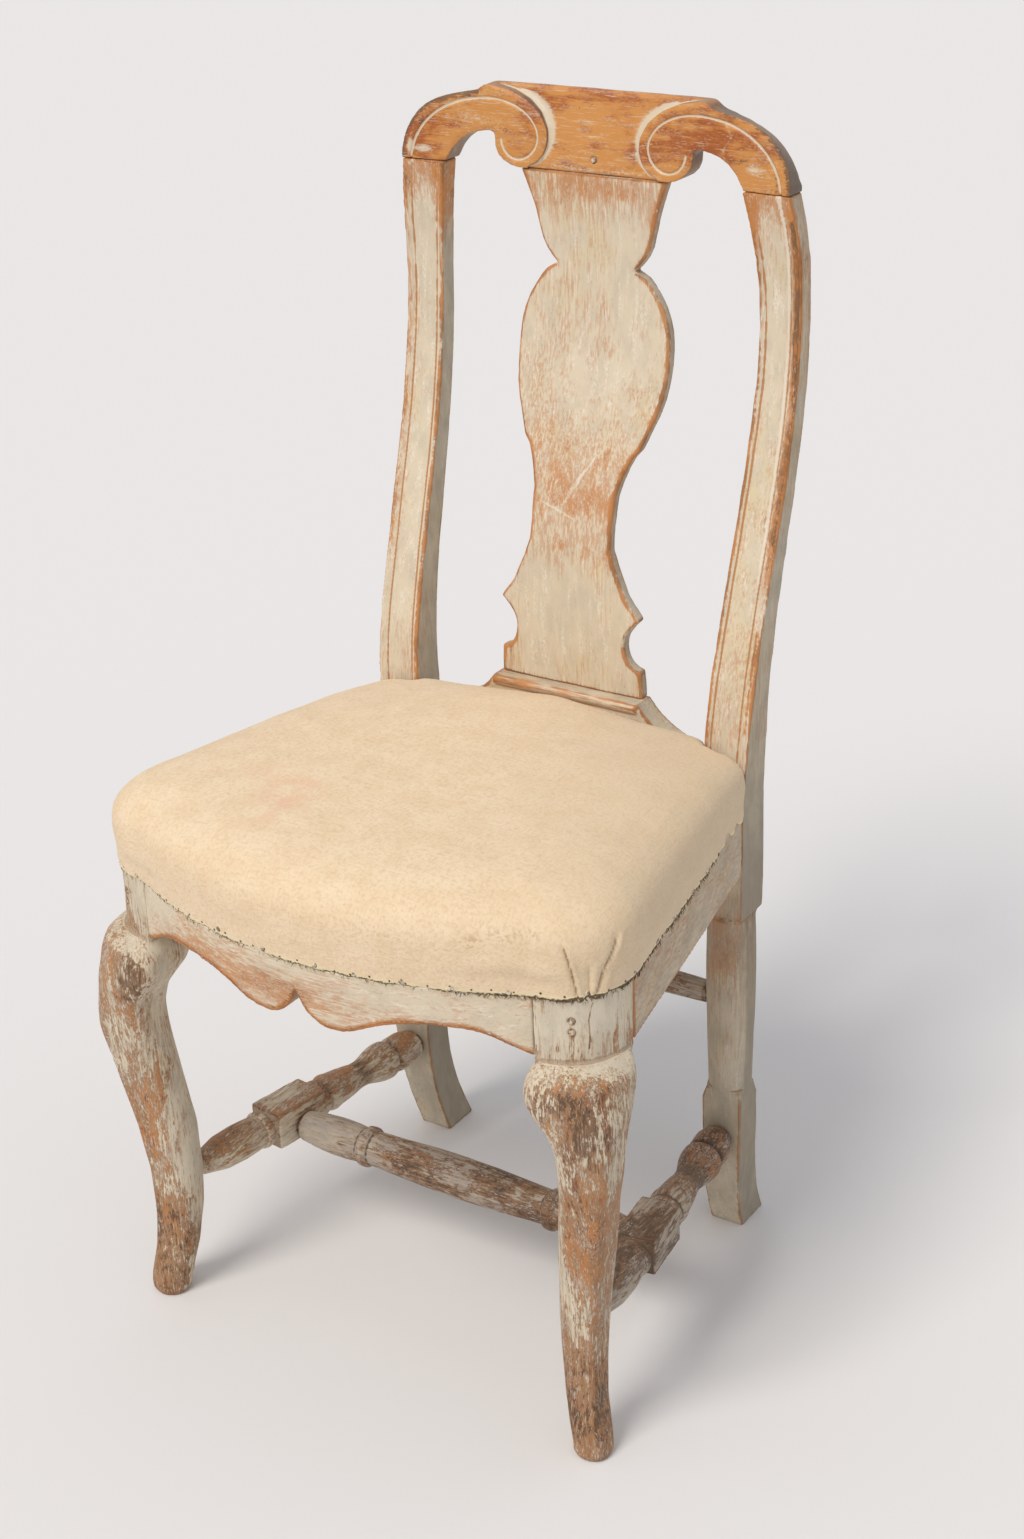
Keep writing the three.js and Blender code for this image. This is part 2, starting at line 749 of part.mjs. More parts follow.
const shoeFront = postFront + shoeSetback;
const shoeEnd = postInner - fit;

function shoe() {
  const bottom = seatTop + fit;
  const top = seatTop + shoeHeight;
  const low = seatTop + shoeEndHeight;
  const sweep = new THREE.Path();
  sweep.moveTo(shoeHalf, top);
  const pull = 0.3;
  const waist = mix(shoeHalf, shoeEnd, pull);
  sweep.quadraticCurveTo(waist, mix(low, top, pull / 2), shoeEnd, low);
  const half = [new THREE.Vector2(shoeEnd, bottom), ...sweep.getPoints(8).reverse()];
  const block = solid(facing(both(half), shoeFront, shoeFront + shoeDepth));
  const beadZ = top - shoeBead;
  const from = vec(-shoeHalf, shoeFront + shoeBead / 2, beadZ);
  const bead = rod(shoeBead, from, vec(shoeHalf, from.y, beadZ), turnedSides);
  return cut(join(block, [bead]), [splatMortise(0)]);
}

add('splat_shoe', paint, geometryOf(shoe()));

// Front legs: a corner block that holds the rails, over a cabriole leg

// height, swing outwards, swing forwards, width, depth, rounding of the outward arris, of the others
const legShares = [
  [0, 0.68, 0.86, 0.58, 0.58, 0.28, 0.27],
  [0.012, 0.66, 0.84, 0.66, 0.66, 0.25, 0.3],
  [0.035, 0.59, 0.74, 0.675, 0.675, 0.17, 0.31],
  [0.08, 0.4, 0.58, 0.67, 0.67, 0.1, 0.31],
  [0.13, 0.2, 0.36, 0.68, 0.68, 0.08, 0.31],
  [0.23, 0.02, 0.1, 0.735, 0.735, 0.08, 0.33],
  [0.34, 0, 0, 0.805, 0.805, 0.08, 0.36],
  [0.46, 0.2, 0.12, 0.885, 0.885, 0.09, 0.4],
  [0.59, 0.55, 0.56, 0.94, 0.94, 0.09, 0.42],
  [0.67, 0.78, 0.8, 0.965, 0.965, 0.09, 0.43],
  [0.735, 0.97, 1, 1, 1, 0.1, 0.42],
  [0.79, 1.06, 1.2, 0.985, 0.985, 0.26, 0.3],
  [0.842, 0.98, 1.26, 1.09, 1.09, 0.5, 0.27],
  [0.88, 0.76, 1.26, 1.32, 1.2, 0.72, 0.27],
  [0.906, 0.58, 1.12, 1.44, 1.32, 0.86, 0.28],
  [0.926, 0.5, 0.98, 1.49, 1.39, 0.92, 0.3],
  [0.948, 0.48, 0.86, 1.49, 1.42, 0.95, 0.34],
  [0.968, 0.48, 0.68, 1.44, 1.4, 0.98, 0.38],
  [0.983, 0.44, 0.4, 1.28, 1.33, 0.94, 0.3],
  [0.995, 0.33, 0.05, 1.04, 1.2, 0.8, 0.1],
];

// Rounded rectangle whose outward front corner has its own radius, counted round from there.
function legSection(z, x, y, width, depth, ridge, round) {
  const corners = [
    [1, -1, ridge],
    [1, 1, round],
    [-1, 1, round],
    [-1, -1, round],
  ];
  const steps = 4;
  return corners.flatMap(([side, behind, radius], corner) => {
    const cx = x + side * (width / 2 - radius);
    const cy = y + behind * (depth / 2 - radius);
    const start = (corner - 1) * (Math.PI / 2);
    const points = [];
    for (let i = 0; i <= steps; i++) {
      const angle = start + (i / steps) * (Math.PI / 2);
      points.push(vec(cx + radius * Math.cos(angle), cy + radius * Math.sin(angle), z));
    }
    return points;
  });
}

function cabriole() {
  const rings = legShares.map(([rise, out, forward, width, depth, ridge, round]) => {
    const x = ankleX + kneeSwing * out;
    const y = -ankleReach - kneeReach * forward;
    const size = kneeSize;
    return legSection(railBottom * rise, x, y, size * width, size * depth, size * ridge, size * round);
  });
  return loft(rings);
}

function cornerCurve() {
  const from = new THREE.Vector2(seamHalf, -seamReach);
  const to = new THREE.Vector2(seatHalf, -cornerReach);
  const ahead = new THREE.Vector2(mix(seamHalf, seatHalf, 0.5), -seamReach + (seamReach - cornerReach) * 0.06);
  const aside = new THREE.Vector2(seatHalf, mix(-seamReach, -cornerReach, 0.36));
  return new THREE.CubicBezierCurve(from, ahead, aside, to).getPoints(7);
}

function cornerBlock() {
  const outline = [
    ...cornerCurve(),
    new THREE.Vector2(seatHalf, -sideSeamReach),
    new THREE.Vector2(seamHalf, -sideSeamReach),
  ];
  return standing(outline, railBottom - blockTenon, seatTop);
}

const pegX = seamHalf + cornerWidth * pegPlaceShare;
const pegHeights = [1, 2].map((n) => seatTop - (railHeight - pegSpacing) / 2 - n * pegSpacing + pegSpacing / 2);
const cornerFaceAt = (x) => {
  const curve = cornerCurve();
  const after = curve.findIndex((p) => p.x > x);
  const [a, b] = [curve[after - 1], curve[after]];
  return mix(a.y, b.y, (x - a.x) / (b.x - a.x));
};

function railPeg(z, gap) {
  const from = vec(pegX, cornerFaceAt(pegX) - gap * overrun, z);
  const behind = -seamReach + frontTenonSetback + tenonThickness / 2 + 2 * pegRadius;
  return rod(pegRadius + gap, from, vec(pegX, behind + gap, z), pegSides);
}

const railPegs = (gap) => pegHeights.map((z) => railPeg(z, gap));
const legBody = cut(join(solid(cabriole()), [cornerBlock()]), [
  frontTenon(fit),
  sideFrontTenon(fit),
  sideTenons(fit),
  ...railPegs(fit),
]);
add('front_leg_right', brownWood, geometryOf(legBody));
add('front_leg_left', brownWood, mirrored(geometryOf(legBody)));
railPegs(0).forEach((peg, i) => {
  add(`rail_peg_right_${i + 1}`, brownWood, peg);
  add(`rail_peg_left_${i + 1}`, brownWood, mirrored(peg));
});

// Front rail: bowed in plan, with a scalloped lower edge that rises to a point in the middle

// Half of the lower edge: place along the rail, height on the rail
const lobeShares = [
  [0, 0.42],
  [0.02, 0.3],
  [0.05, 0.17],
  [0.09, 0.075],
  [0.14, 0.03],
  [0.2, 0.025],
  [0.26, 0.055],
  [0.32, 0.12],
  [0.39, 0.2],
  [0.47, 0.265],
  [0.57, 0.3],
];
const riseShares = [
  [0.57, 0.3],
  [0.67, 0.305],
  [0.76, 0.295],
  [0.83, 0.245],
  [0.89, 0.165],
  [0.95, 0.075],
  [1, 0.015],
];

function frontRail() {
  const end = seamHalf - fit;
  const xs = [];
  for (let i = -bowSteps; i <= bowSteps; i++) {
    xs.push(THREE.MathUtils.clamp((seamHalf * i) / bowSteps, -end, end));
  }
  const front = xs.map((x) => new THREE.Vector2(x, bowAt(x)));
  const back = xs.map((x) => new THREE.Vector2(x, bowAt(x) + frontRailThickness)).reverse();
  const blank = solid(standing([...front, ...back], railBottom, seatTop));
  const edge = [lobeShares, riseShares].flatMap((run, i) => {
    const curve = new THREE.SplineCurve(run.map((p) => new THREE.Vector2(...p)));
    return curve.getPoints(run.length + 4).slice(i ? 1 : 0);
  });
  const lower = edge.map((p) => new THREE.Vector2(p.x * seamHalf, railBottom + p.y * railHeight));
  const half = [...lower, new THREE.Vector2(seamHalf + fit, railBottom), new THREE.Vector2(seamHalf + fit, railBottom - overrun)];
  const scallop = facing(both(half), -frontReach - overrun, -seamReach + frontRailThickness + overrun);
  const shaped = blank.subtract(solid(scallop));
  return cut(join(shaped, [frontTenon(0), mirrored(frontTenon(0))]), [
    ...railPegs(fit),
    ...railPegs(fit).map(mirrored),
  ]);
}

add('front_seat_rail', paint, geometryOf(frontRail()));

// Side and rear rails

function sideRail() {
  const rearOuter = sideRailAxis + railThickness / 2;
  const outline = [
    new THREE.Vector2(seatHalf - railThickness, -sideSeamReach + fit),
    new THREE.Vector2(seatHalf, -sideSeamReach + fit),
    new THREE.Vector2(rearOuter, postFront - fit),
    new THREE.Vector2(rearOuter - railThickness, postFront - fit),
  ];
  return join(solid(standing(outline, railBottom, seatTop)), [sideFrontTenon(0), sideRearTenon(0)]);
}

function rearRail() {
  const end = postInner - fit;
  const bar = solid(box(-end, end, rearRailFront, rearRailBack, railBottom, seatTop));
  return join(bar, [rearTenon(0), mirrored(rearTenon(0))]);
}

const side = geometryOf(sideRail());
add('side_seat_rail_right', paint, side);
add('side_seat_rail_left', paint, mirrored(side));
add('rear_seat_rail', paint, geometryOf(rearRail()));

// Stretchers: turned, with round tenons

// Place along the stretcher between the legs, and radius
const sideTurnShares = [
  [0, 0.6],
  [0.03, 0.7],
  [0.09, 0.94],
  [0.17, 1],
  [0.235, 0.93],
  [0.252, 0.86],
  [0.258, 1.03],
  [0.275, 1.03],
  [0.281, 0.9],
];
const sideVaseShares = [
  [0.519, 0.9],
  [0.525, 1.02],
  [0.542, 1.02],
  [0.55, 0.92],
  [0.6, 0.98],
  [0.64, 0.92],
  [0.71, 0.76],
  [0.75, 0.76],
  [0.82, 0.9],
  [0.86, 1],
  [0.872, 0.88],
  [0.9, 1],
  [0.95, 1.04],
  [1, 0.85],
];
const sideBlockShares = [0.29, 0.51];

// Place from the middle to the end of the cross stretcher, and radius
const crossTurnShares = [
  [0, 1.07],
  [0.2, 1.05],
  [0.4, 0.96],
  [0.545, 0.9],
  [0.56, 1.08],
  [0.6, 1.08],
  [0.615, 0.92],
  [0.7, 1],
  [0.8, 1],
  [0.9, 0.93],
  [1, 0.8],
];
const rearTurnShares = [
  [0, 1],
  [0.5, 0.98],
  [0.9, 0.9],
  [1, 0.86],
];

// Revolves points of place and radius about the line between two points.
function turned(points, from, to) {
  const length = from.distanceTo(to);
  const profile = points.map(([place, radius]) => new THREE.Vector2(radius, place - length / 2));
  return along(new THREE.LatheGeometry(profile, turnedSides), from, to);
}

function sideStretcher() {
  const start = ankleHalf + shoulderRelief;
  const end = sideLength - blockHalf - shoulderRelief;
  const place = (share) => mix(start, end, share) - sideStart;
  const body = [...sideTurnShares, ...sideVaseShares].map(([s, r]) => [place(s), r * stretcherRadius]);
  const points = [
    [0, 0],
    [0, stretcherTenon],
    [start - sideStart, stretcherTenon],
    ...body,
    [end - sideStart, stretcherTenon],
    [sideEnd - sideStart, stretcherTenon],
    [sideEnd - sideStart, 0],
  ];
  const round = solid(turned(points, sideAt(sideStart), sideAt(sideEnd)));
  const [blockFrom, blockTo] = sideBlockShares.map((share) => sideAt(mix(start, end, share)));
  const length = blockFrom.distanceTo(blockTo);
  const block = new THREE.BoxGeometry(stretcherBlock, length, stretcherBlock);
  return join(round, [along(block, blockFrom, blockTo)]);
}

const [blockStart, blockStop] = sideBlockShares;
const crossSeat = sideAt(mix(ankleHalf, sideLength - blockHalf, (blockStart + blockStop) / 2));
const crossHalf = crossSeat.x - stretcherBlock / 2 - shoulderRelief;
const crossEnd = crossSeat.x - stretcherBlock / 2 + stretcherTenonLength;
const crossTenonAt = (x) => vec(x, crossSeat.y, crossHeight);
const crossTenons = (gap) => {
  const end = crossEnd + gap;
  return rod(stretcherTenon + gap, crossTenonAt(-end), crossTenonAt(end), turnedSides);
};

function evenTurning(shares, radius, half, end) {
  const right = shares.map(([s, r]) => [half * s, r * radius]);
  const left = right.slice(1).map(([place, r]) => [-place, r]).reverse();
  const body = [...left, ...right].map(([place, r]) => [place + end, r]);
  return [
    [0, 0],
    [0, stretcherTenon],
    [end - half, stretcherTenon],
    ...body,
    [end + half, stretcherTenon],
    [2 * end, stretcherTenon],
    [2 * end, 0],
  ];
}

const sideTurned = geometryOf(cut(sideStretcher(), [crossTenons(fit)]));
add('side_stretcher_right', brownWood, sideTurned);
add('side_stretcher_left', brownWood, mirrored(sideTurned));

const crossPoints = evenTurning(crossTurnShares, crossRadius, crossHalf, crossEnd);
add('cross_stretcher', brownWood, turned(crossPoints, crossTenonAt(-crossEnd), crossTenonAt(crossEnd)));

const rearHalf = rearLegX - turnedRadius + fit;
const rearPoints = evenTurning(rearTurnShares, rearStretcherRadius, rearHalf - 2 * fit, rearStretcherEnd);
const rearStretcherAt = (x) => vec(x, rearStretcherY, rearStretcherHeight);
add('rear_stretcher', paint, turned(rearPoints, rearStretcherAt(-rearStretcherEnd), rearStretcherAt(rearStretcherEnd)));

// Seat outline: front bow, rounded corners, straight sides and the rear edge behind the shoe's face

function seatOutline(grow) {
  const right = [];
  for (let i = 0; i < bowSteps; i++) {
    const x = (seamHalf * i) / bowSteps;
    right.push(new THREE.Vector2(x, bowAt(x)));
  }
  right.push(...cornerCurve());
  const rearOuter = sideRailAxis + railThickness / 2;
  const sideSteps = 4;
  for (let i = 0; i <= sideSteps; i++) {
    const x = mix(seatHalf, rearOuter, i / sideSteps);
    right.push(new THREE.Vector2(x, mix(-sideSeamReach, postFront, i / sideSteps)));
  }
  right.push(new THREE.Vector2(rearOuter - overrun, seatRear));
  right.push(new THREE.Vector2(rearOuter / 2, seatRear));
  right.push(new THREE.Vector2(0, seatRear));
  const left = right.slice(1, -1).map((p) => new THREE.Vector2(-p.x, p.y)).reverse();
  const outline = [...right, ...left];
  return outline.map((p, i) => {
    const before = outline[(i + outline.length - 1) % outline.length];
    const after = outline[(i + 1) % outline.length];
    const away = new THREE.Vector2(after.y - before.y, before.x - after.x).normalize();
    return p.clone().addScaledVector(away, grow);
  });
}

// height, drawn in towards the middle, bulge, how far the surface faces up
const domeShares = [
  [0, 0, 0, 0],
  [0.2, 0, 0.25, 0],
  [0.36, 0, 0.85, 0],
  [0.52, 0, 1, 0.1],
  [0.66, 0.003, 0.7, 0.3],
  [0.77, 0.025, 0.2, 0.5],
  [0.86, 0.075, 0, 0.7],
  [0.92, 0.17, 0, 0.85],
  [0.96, 0.33, 0, 1],
  [0.988, 0.58, 0, 1],
  [1, 0.85, 0, 1],
];

// The stuffing thins out towards the posts.
function dip(x, y) {
  const apart = Math.hypot(Math.abs(x) - postInner, y - postFront) / dipReach;
  return 1 - dipShare * Math.exp(-apart * apart);
}

function domeRing([rise, draw, bulge, up], thickness) {
  const outline = seatOutline(seatBulge * bulge + thickness * (1 - up));
  return outline.map((p) => {
    const x = mix(p.x, 0, draw);
    const y = mix(p.y, -crownReach, draw);
    const height = seatRise * rise * (up ? dip(x, y) : 1);
    return vec(x, y, clothEdge + height + thickness * up);
  });
}

// What the stuffed seat is cut away for: the posts, what lies outside them, and the shoe.
function seatCutters() {
  const top = seatTop + 4 * seatRise;
  const steps = Math.ceil(((2 * seatRise) / backRise) * backSteps);
  const rings = [];
  for (let i = 0; i <= steps; i++) rings.push(backSection(i / backSteps, fit, 0));
  const low = rings[0].map((p) => vec(p.x, p.y, clothEdge - overrun));
  const postCut = loft([low, ...rings]);
  const outside = postCentre + postWidth / 2 - fit;
  const beside = box(outside, 2 * outside, postFront - 2 * fit, backLean, clothEdge - overrun, top);
  const face = shoeFront - shoeBead / 2 - 2 * fit;
  const behind = box(-seatHalf, seatHalf, face, backLean, clothEdge - overrun, top);
  return [postCut, mirrored(postCut), beside, mirrored(beside), behind];
}

const webLevel = webThickness + fit;
const webBase = seatTop + fit;
const sheetBase = webBase + webLevel + webThickness + fit;
const padBase = sheetBase + sheetThickness + fit;

function seatCover() {
  const below = [-overrun / seatRise, 0, 0, 0];
  const outer = domeShares.map((row) => domeRing(row, fit + clothThickness));
  const inner = [below, ...domeShares].map((row) => domeRing(row, fit));
  return cut(solid(loft(outer)), [loft(inner), ...seatCutters()]);
}

function stuffing() {
  const baseShare = (padBase - clothEdge) / seatRise;
  const first = domeShares.findIndex(([rise]) => rise > baseShare);
  const [low, high] = [domeShares[first - 1], domeShares[first]];
  const between = (baseShare - low[0]) / (high[0] - low[0]);
  const base = [baseShare, 0, mix(low[2], high[2], between), 0];
  const rings = [base, ...domeShares.slice(first)].map((row) => domeRing(row, 0));
  return cut(solid(loft(rings)), seatCutters());
}

add('seat_cover', calico, geometryOf(seatCover()));
add('seat_stuffing', linen, geometryOf(stuffing()));

// Hessian over the webbing, cut round the posts and short of the shoe
function baseSheet() {
  const sheet = solid(standing(seatOutline(-webInset), sheetBase, sheetBase + sheetThickness));
  return cut(sheet, seatCutters());
}
add('hessian_sheet', hessian, geometryOf(baseSheet()));

// Webbing: straps that pass over and under each other, nailed on top of the rails

const longWebShares = [-1, -1 / 3, 1 / 3, 1]; // of the room between the posts
const crossWebShares = [0.26, 0.52, 0.78];
const webCrossings = (i, j) => (i + j) % 2;

// Strap through stations of place and level, along y at a fixed x or along x at a fixed y.
function strap(stations, at, runsBack) {
  const half = webWidth / 2;
  const rings = stations.map(([place, level]) => {
    const low = webBase + level * webLevel;
    const corners = [
      [-half, low],
      [half, low],
      [half, low + webThickness],
      [-half, low + webThickness],
    ];
    return corners.map(([across, z]) => (runsBack ? vec(at - across, place, z) : vec(place, at + across, z)));
  });
  return loft(rings);
}

const webYs = crossWebShares.map((share) => mix(rearRailFront, -seamReach, share));
const webXs = longWebShares.map((share) => share * (postInner - webInset - webWidth / 2));
const lap = webWidth / 2 + webThickness;

webXs.forEach((x, i) => {
  const front = bowAt(Math.abs(x) + webWidth / 2) + webInset;
  const over = webYs.flatMap((y, j) => [[y + lap, webCrossings(i, j)], [y - lap, webCrossings(i, j)]]);
  const stations = [[shoeFront - webInset, 0], ...over, [front, 0]].reverse();
  add(`webbing_long_${i + 1}`, hessian, strap(stations, x, true));
});
webYs.forEach((y, j) => {
  const rearOuter = sideRailAxis + railThickness / 2;
  const reach = (y + lap - postFront) / (-sideSeamReach - postFront);
  const end = mix(rearOuter, seatHalf, reach) - webInset;
  const over = webXs.flatMap((x, i) => [[x - lap, 1 - webCrossings(i, j)], [x + lap, 1 - webCrossings(i, j)]]);
  add(`webbing_cross_${j + 1}`, hessian, strap([[-end, 0], ...over, [end, 0]], y, false));
});

// The finished chair stands on the floor with its middle over the origin.
const bounds = new THREE.Box3().setFromObject(chair);
const centre = bounds.getCenter(new THREE.Vector3());
chair.children.forEach((mesh) => mesh.position.set(-centre.x, -centre.y, -bounds.min.z));

export default chair;
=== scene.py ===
# %% [markdown]
# # A painted side chair, worn back to the wood
# The chair's solids come from a CAD frame. This script gives them what a maker's hands and two
# hundred years of use gave the real one: softened arrises, chips, chalky paint that has worn
# through to orange-brown wood, and a calico cover that is tacked over a stuffed seat.

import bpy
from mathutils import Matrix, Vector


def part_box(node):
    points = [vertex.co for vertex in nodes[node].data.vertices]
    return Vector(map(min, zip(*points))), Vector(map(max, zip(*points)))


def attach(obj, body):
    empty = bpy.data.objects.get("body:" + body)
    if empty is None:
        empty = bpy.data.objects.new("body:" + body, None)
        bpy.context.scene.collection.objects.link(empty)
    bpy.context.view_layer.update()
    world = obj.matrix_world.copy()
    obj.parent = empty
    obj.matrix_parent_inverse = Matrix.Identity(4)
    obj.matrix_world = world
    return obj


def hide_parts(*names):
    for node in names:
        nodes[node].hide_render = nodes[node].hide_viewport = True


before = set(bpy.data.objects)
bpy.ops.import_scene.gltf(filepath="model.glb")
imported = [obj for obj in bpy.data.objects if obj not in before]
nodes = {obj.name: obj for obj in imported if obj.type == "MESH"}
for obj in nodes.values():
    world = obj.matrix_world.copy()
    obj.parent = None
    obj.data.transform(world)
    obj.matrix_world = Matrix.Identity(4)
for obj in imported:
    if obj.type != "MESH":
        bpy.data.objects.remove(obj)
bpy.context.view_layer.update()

# %% Tools of Blender and numbers that the whole lesson uses
import itertools
import math

import bmesh
import bpy
import numpy as np
from mathutils import Matrix, Vector
from mathutils.bvhtree import BVHTree

MM = 0.001
print(len(nodes), "CAD nodes")


# %% [markdown]
# ## The camera
# The photograph was taken from the chair's front right, from above the crest, with a short
# telephoto lens held a little askew. The camera is set first, so that every later step can be
# looked at from the same place.

# %% Camera
camera_azimuth = math.radians(33.58)  # from straight ahead, to the chair's left as it faces us
camera_elevation = math.radians(25.17)
camera_roll = math.radians(-2.15)
camera_place = Vector((1.0991, -1.5838, 1.3935))  # metres
sensor = 36.0  # millimetres, as the lens is
lens = 60.14

back = Vector(
    (
        math.sin(camera_azimuth) * math.cos(camera_elevation),
        -math.cos(camera_azimuth) * math.cos(camera_elevation),
        math.sin(camera_elevation),
    )
)
level = Vector((math.cos(camera_azimuth), math.sin(camera_azimuth), 0))
upright = back.cross(level)
right = level * math.cos(camera_roll) + upright * math.sin(camera_roll)
up = upright * math.cos(camera_roll) - level * math.sin(camera_roll)
camera_turn = Matrix((right, up, back)).transposed().to_4x4()
camera_data = bpy.data.cameras.new("camera")
camera_data.sensor_width = sensor
camera_data.lens = lens
camera = bpy.data.objects.new("camera", camera_data)
camera.matrix_world = Matrix.Translation(camera_place) @ camera_turn
bpy.context.scene.collection.objects.link(camera)
bpy.context.scene.camera = camera
print("camera", [round(c, 3) for c in camera_place], "lens", lens)


# %% [markdown]
# ## Colours and shader nodes
# Colours are written as they look on a screen and turned to the linear values that light uses.
# One small function adds a node, sets its properties and links or fills its inputs.


# %% Colour and node helpers
def linear(code):
    """A screen colour such as #c8b79c as linear red, green, blue and alpha."""
    parts = [int(code[i : i + 2], 16) / 255 for i in (1, 3, 5)]
    return [p / 12.92 if p <= 0.04045 else ((p + 0.055) / 1.055) ** 2.4 for p in parts] + [1.0]


def emptied(owner):
    """The node tree of a material or a world, with no node in it yet."""
    owner.use_nodes = True
    owner.node_tree.nodes.clear()
    return owner.node_tree


def add(tree, kind, links=None, **settings):
    """Adds a shader node: settings are its properties, links its inputs, by value or socket."""
    node = tree.nodes.new("ShaderNode" + kind)
    for name, value in settings.items():
        setattr(node, name, value)
    for place, value in (links or {}).items():
        if isinstance(value, bpy.types.NodeSocket):
            tree.links.new(value, node.inputs[place])
        else:
            node.inputs[place].default_value = value
    return node


COLOUR_A, COLOUR_B, COLOUR_OUT = 6, 7, 2  # the colour sockets of a Mix node


# %% [markdown]
# A painted or dirty surface is several colours over each other, and each lies only in some
# places. Such a place is where one or more values, such as a noise or an attribute of the mesh,
# rise from low to high. Three functions turn rows of a table into noises, sums and layers, so
# that a material reads as a list of its layers from the bottom up.


# %% Noises, sums of values and layers of colour
def patterned(tree, value, place, patterns):
    """Adds each row's noise to the values, under the row's name. Sizes are in millimetres."""
    for name, size, squeeze, detail, rough, shift, lean in patterns:
        links = {
            "Vector": place,
            "Location": (shift, shift, shift),
            "Rotation": (0, lean, 0),
            "Scale": squeeze,
        }
        turned = add(tree, "Mapping", links).outputs[0]
        links = {"Vector": turned, "Scale": 1 / (size * MM), "Detail": detail, "Roughness": rough}
        value[name] = add(tree, "TexNoise", links).outputs[0]


def summed(tree, value, terms):
    """Adds up weight times (value minus middle) over rows of name, weight, middle."""
    total = 0.0
    for name, weight, middle in terms:
        shifted = add(tree, "Math", {0: value[name], 1: middle}, operation="SUBTRACT").outputs[0]
        links = {0: shifted, 1: weight, 2: total}
        total = add(tree, "Math", links, operation="MULTIPLY_ADD").outputs[0]
    return total


def laid(tree, value, below, layers):
    """Lays colours over one another: rows of colour, largest share, and where it lies."""
    for above, share, *places in layers:
        for name, low, high in places:
            links = {"Value": value[name], "From Min": low, "From Max": high}
            rising = add(tree, "MapRange", links, interpolation_type="SMOOTHSTEP").outputs[0]
            share = add(tree, "Math", {0: rising, 1: share}, operation="MULTIPLY").outputs[0]
        links = {0: share, COLOUR_A: below, COLOUR_B: above}
        below = add(tree, "Mix", links, data_type="RGBA").outputs[COLOUR_OUT]
    return below


# %% [markdown]
# ## Numbers over a surface
# Wear is worked out with a number for every point of a mesh. Soft random values come from a
# lattice of random corners, blended smoothly. Relaxing moves each point towards its neighbours,
# which rounds arrises. It also shrinks a form, so where a coarse outline needs many passes,
# fairing relaxes it twice and gives back what the first time took.


# %% Random values and relaxing
def risen(values, start, reach):
    """0 up to start and 1 from start plus reach."""
    return np.clip((values - start) / reach, 0, 1)


def peak(distance, width):
    """1 at no distance, and nearly 0 beyond twice the width."""
    return np.exp(-((distance / width) ** 2))


def cloudy(points, size, seed):
    """Soft random values from 0 to 1 at the points, changing over about size metres."""
    where = points / np.asarray(size) + seed * 7.31
    cell = np.floor(where).astype(np.int64)
    part = where - cell
    part = part * part * (3 - 2 * part)
    total = np.zeros(len(points))
    for corner in itertools.product((0, 1), repeat=3):
        x, y, z = (cell + corner).T  # large odd numbers scatter the lattice's corners
        mixed = (x * 73856093) ^ (y * 19349663) ^ (z * 83492791) ^ (seed * 2654435)
        mixed = (mixed ^ (mixed >> 13)) * 1274126177 & 0x7FFFFFFF
        value = ((mixed ^ (mixed >> 16)) & 0xFFFFF) / 0xFFFFF
        total += value * np.prod(np.where(corner, part, 1 - part), axis=1)
    return total


def relaxed(points, edges, passes):
    """In each pass every point moves halfway to the middle of its neighbours."""
    one, other = edges.T
    count = np.bincount(edges.ravel(), minlength=len(points))[:, None]
    lone = count == 0
    for _ in range(passes):
        total = [
            np.bincount(one, column[other], len(points))
            + np.bincount(other, column[one], len(points))
            for column in points.T
        ]
        middle = np.where(lone, points, np.stack(total, 1) / np.maximum(count, 1))
        points = (points + middle) / 2
    return points


CARRIED = 30  # passes that carry a fairing softly to the points around its part


def faired(points, edges, part, passes, along):
    """Rounds off the flats of a coarse outline: relaxes that part, then gives back what shrank."""
    inside = edges[(part[edges] > 0).all(1)]
    once = relaxed(points, inside, passes)
    moved = (2 * once - relaxed(once, inside, passes) - points) * np.array(along) * part[:, None]
    near = relaxed((part > 0).astype(float)[:, None], edges, CARRIED)
    carried = relaxed(moved, edges, CARRIED) / np.maximum(near, 1e-3)
    return points + np.where(near > 0.9, moved, carried) * np.clip(near * 3, 0, 1)


# %% Reading and writing a mesh
def read(data, name, width):
    """One property of every vertex or edge as an array."""
    whole = name == "vertices"
    values = np.zeros(len(data) * width, np.int32 if whole else np.float32)
    data.foreach_get(name, values)
    return values.reshape(-1, width).astype(int if whole else float)


def put(mesh, points):
    """Moves a mesh's points."""
    mesh.vertices.foreach_set("co", points.ravel())
    mesh.update()


def keep(mesh, name, values):
    """Stores a number or a vector per vertex as an attribute."""
    single = values.ndim == 1
    attribute = mesh.attributes.new(name, "FLOAT" if single else "FLOAT_VECTOR", "POINT")
    values = values.astype(np.float32).ravel()
    attribute.data.foreach_set("value" if single else "vector", values)


def smoothed(mesh):
    """Shades every face smoothly."""
    mesh.polygons.foreach_set("use_smooth", np.ones(len(mesh.polygons), bool))


# %% [markdown]
# Where the real chair is worn, dirty or chalky is measured off it, as spots, and as
# distances from an edge or from a line.


# %% Where the paint has gone
FAR = 1000  # a spot's reach in millimetres that takes in the whole chair
LINE_DEPTH = 15 * MM  # a line marks only the side of the piece on which it lies


def marked(points, base, spots=()):
    """A base value with soft spots added: middle and reach in millimetres, and amount."""
    total = np.full(len(points), float(base))
    for x, y, z, reach_x, reach_y, reach_z, amount in spots:
        away = (points - np.array((x, y, z)) * MM) / (np.array((reach_x, reach_y, reach_z)) * MM)
        total += amount * np.exp(-(away**2).sum(1))
    return total


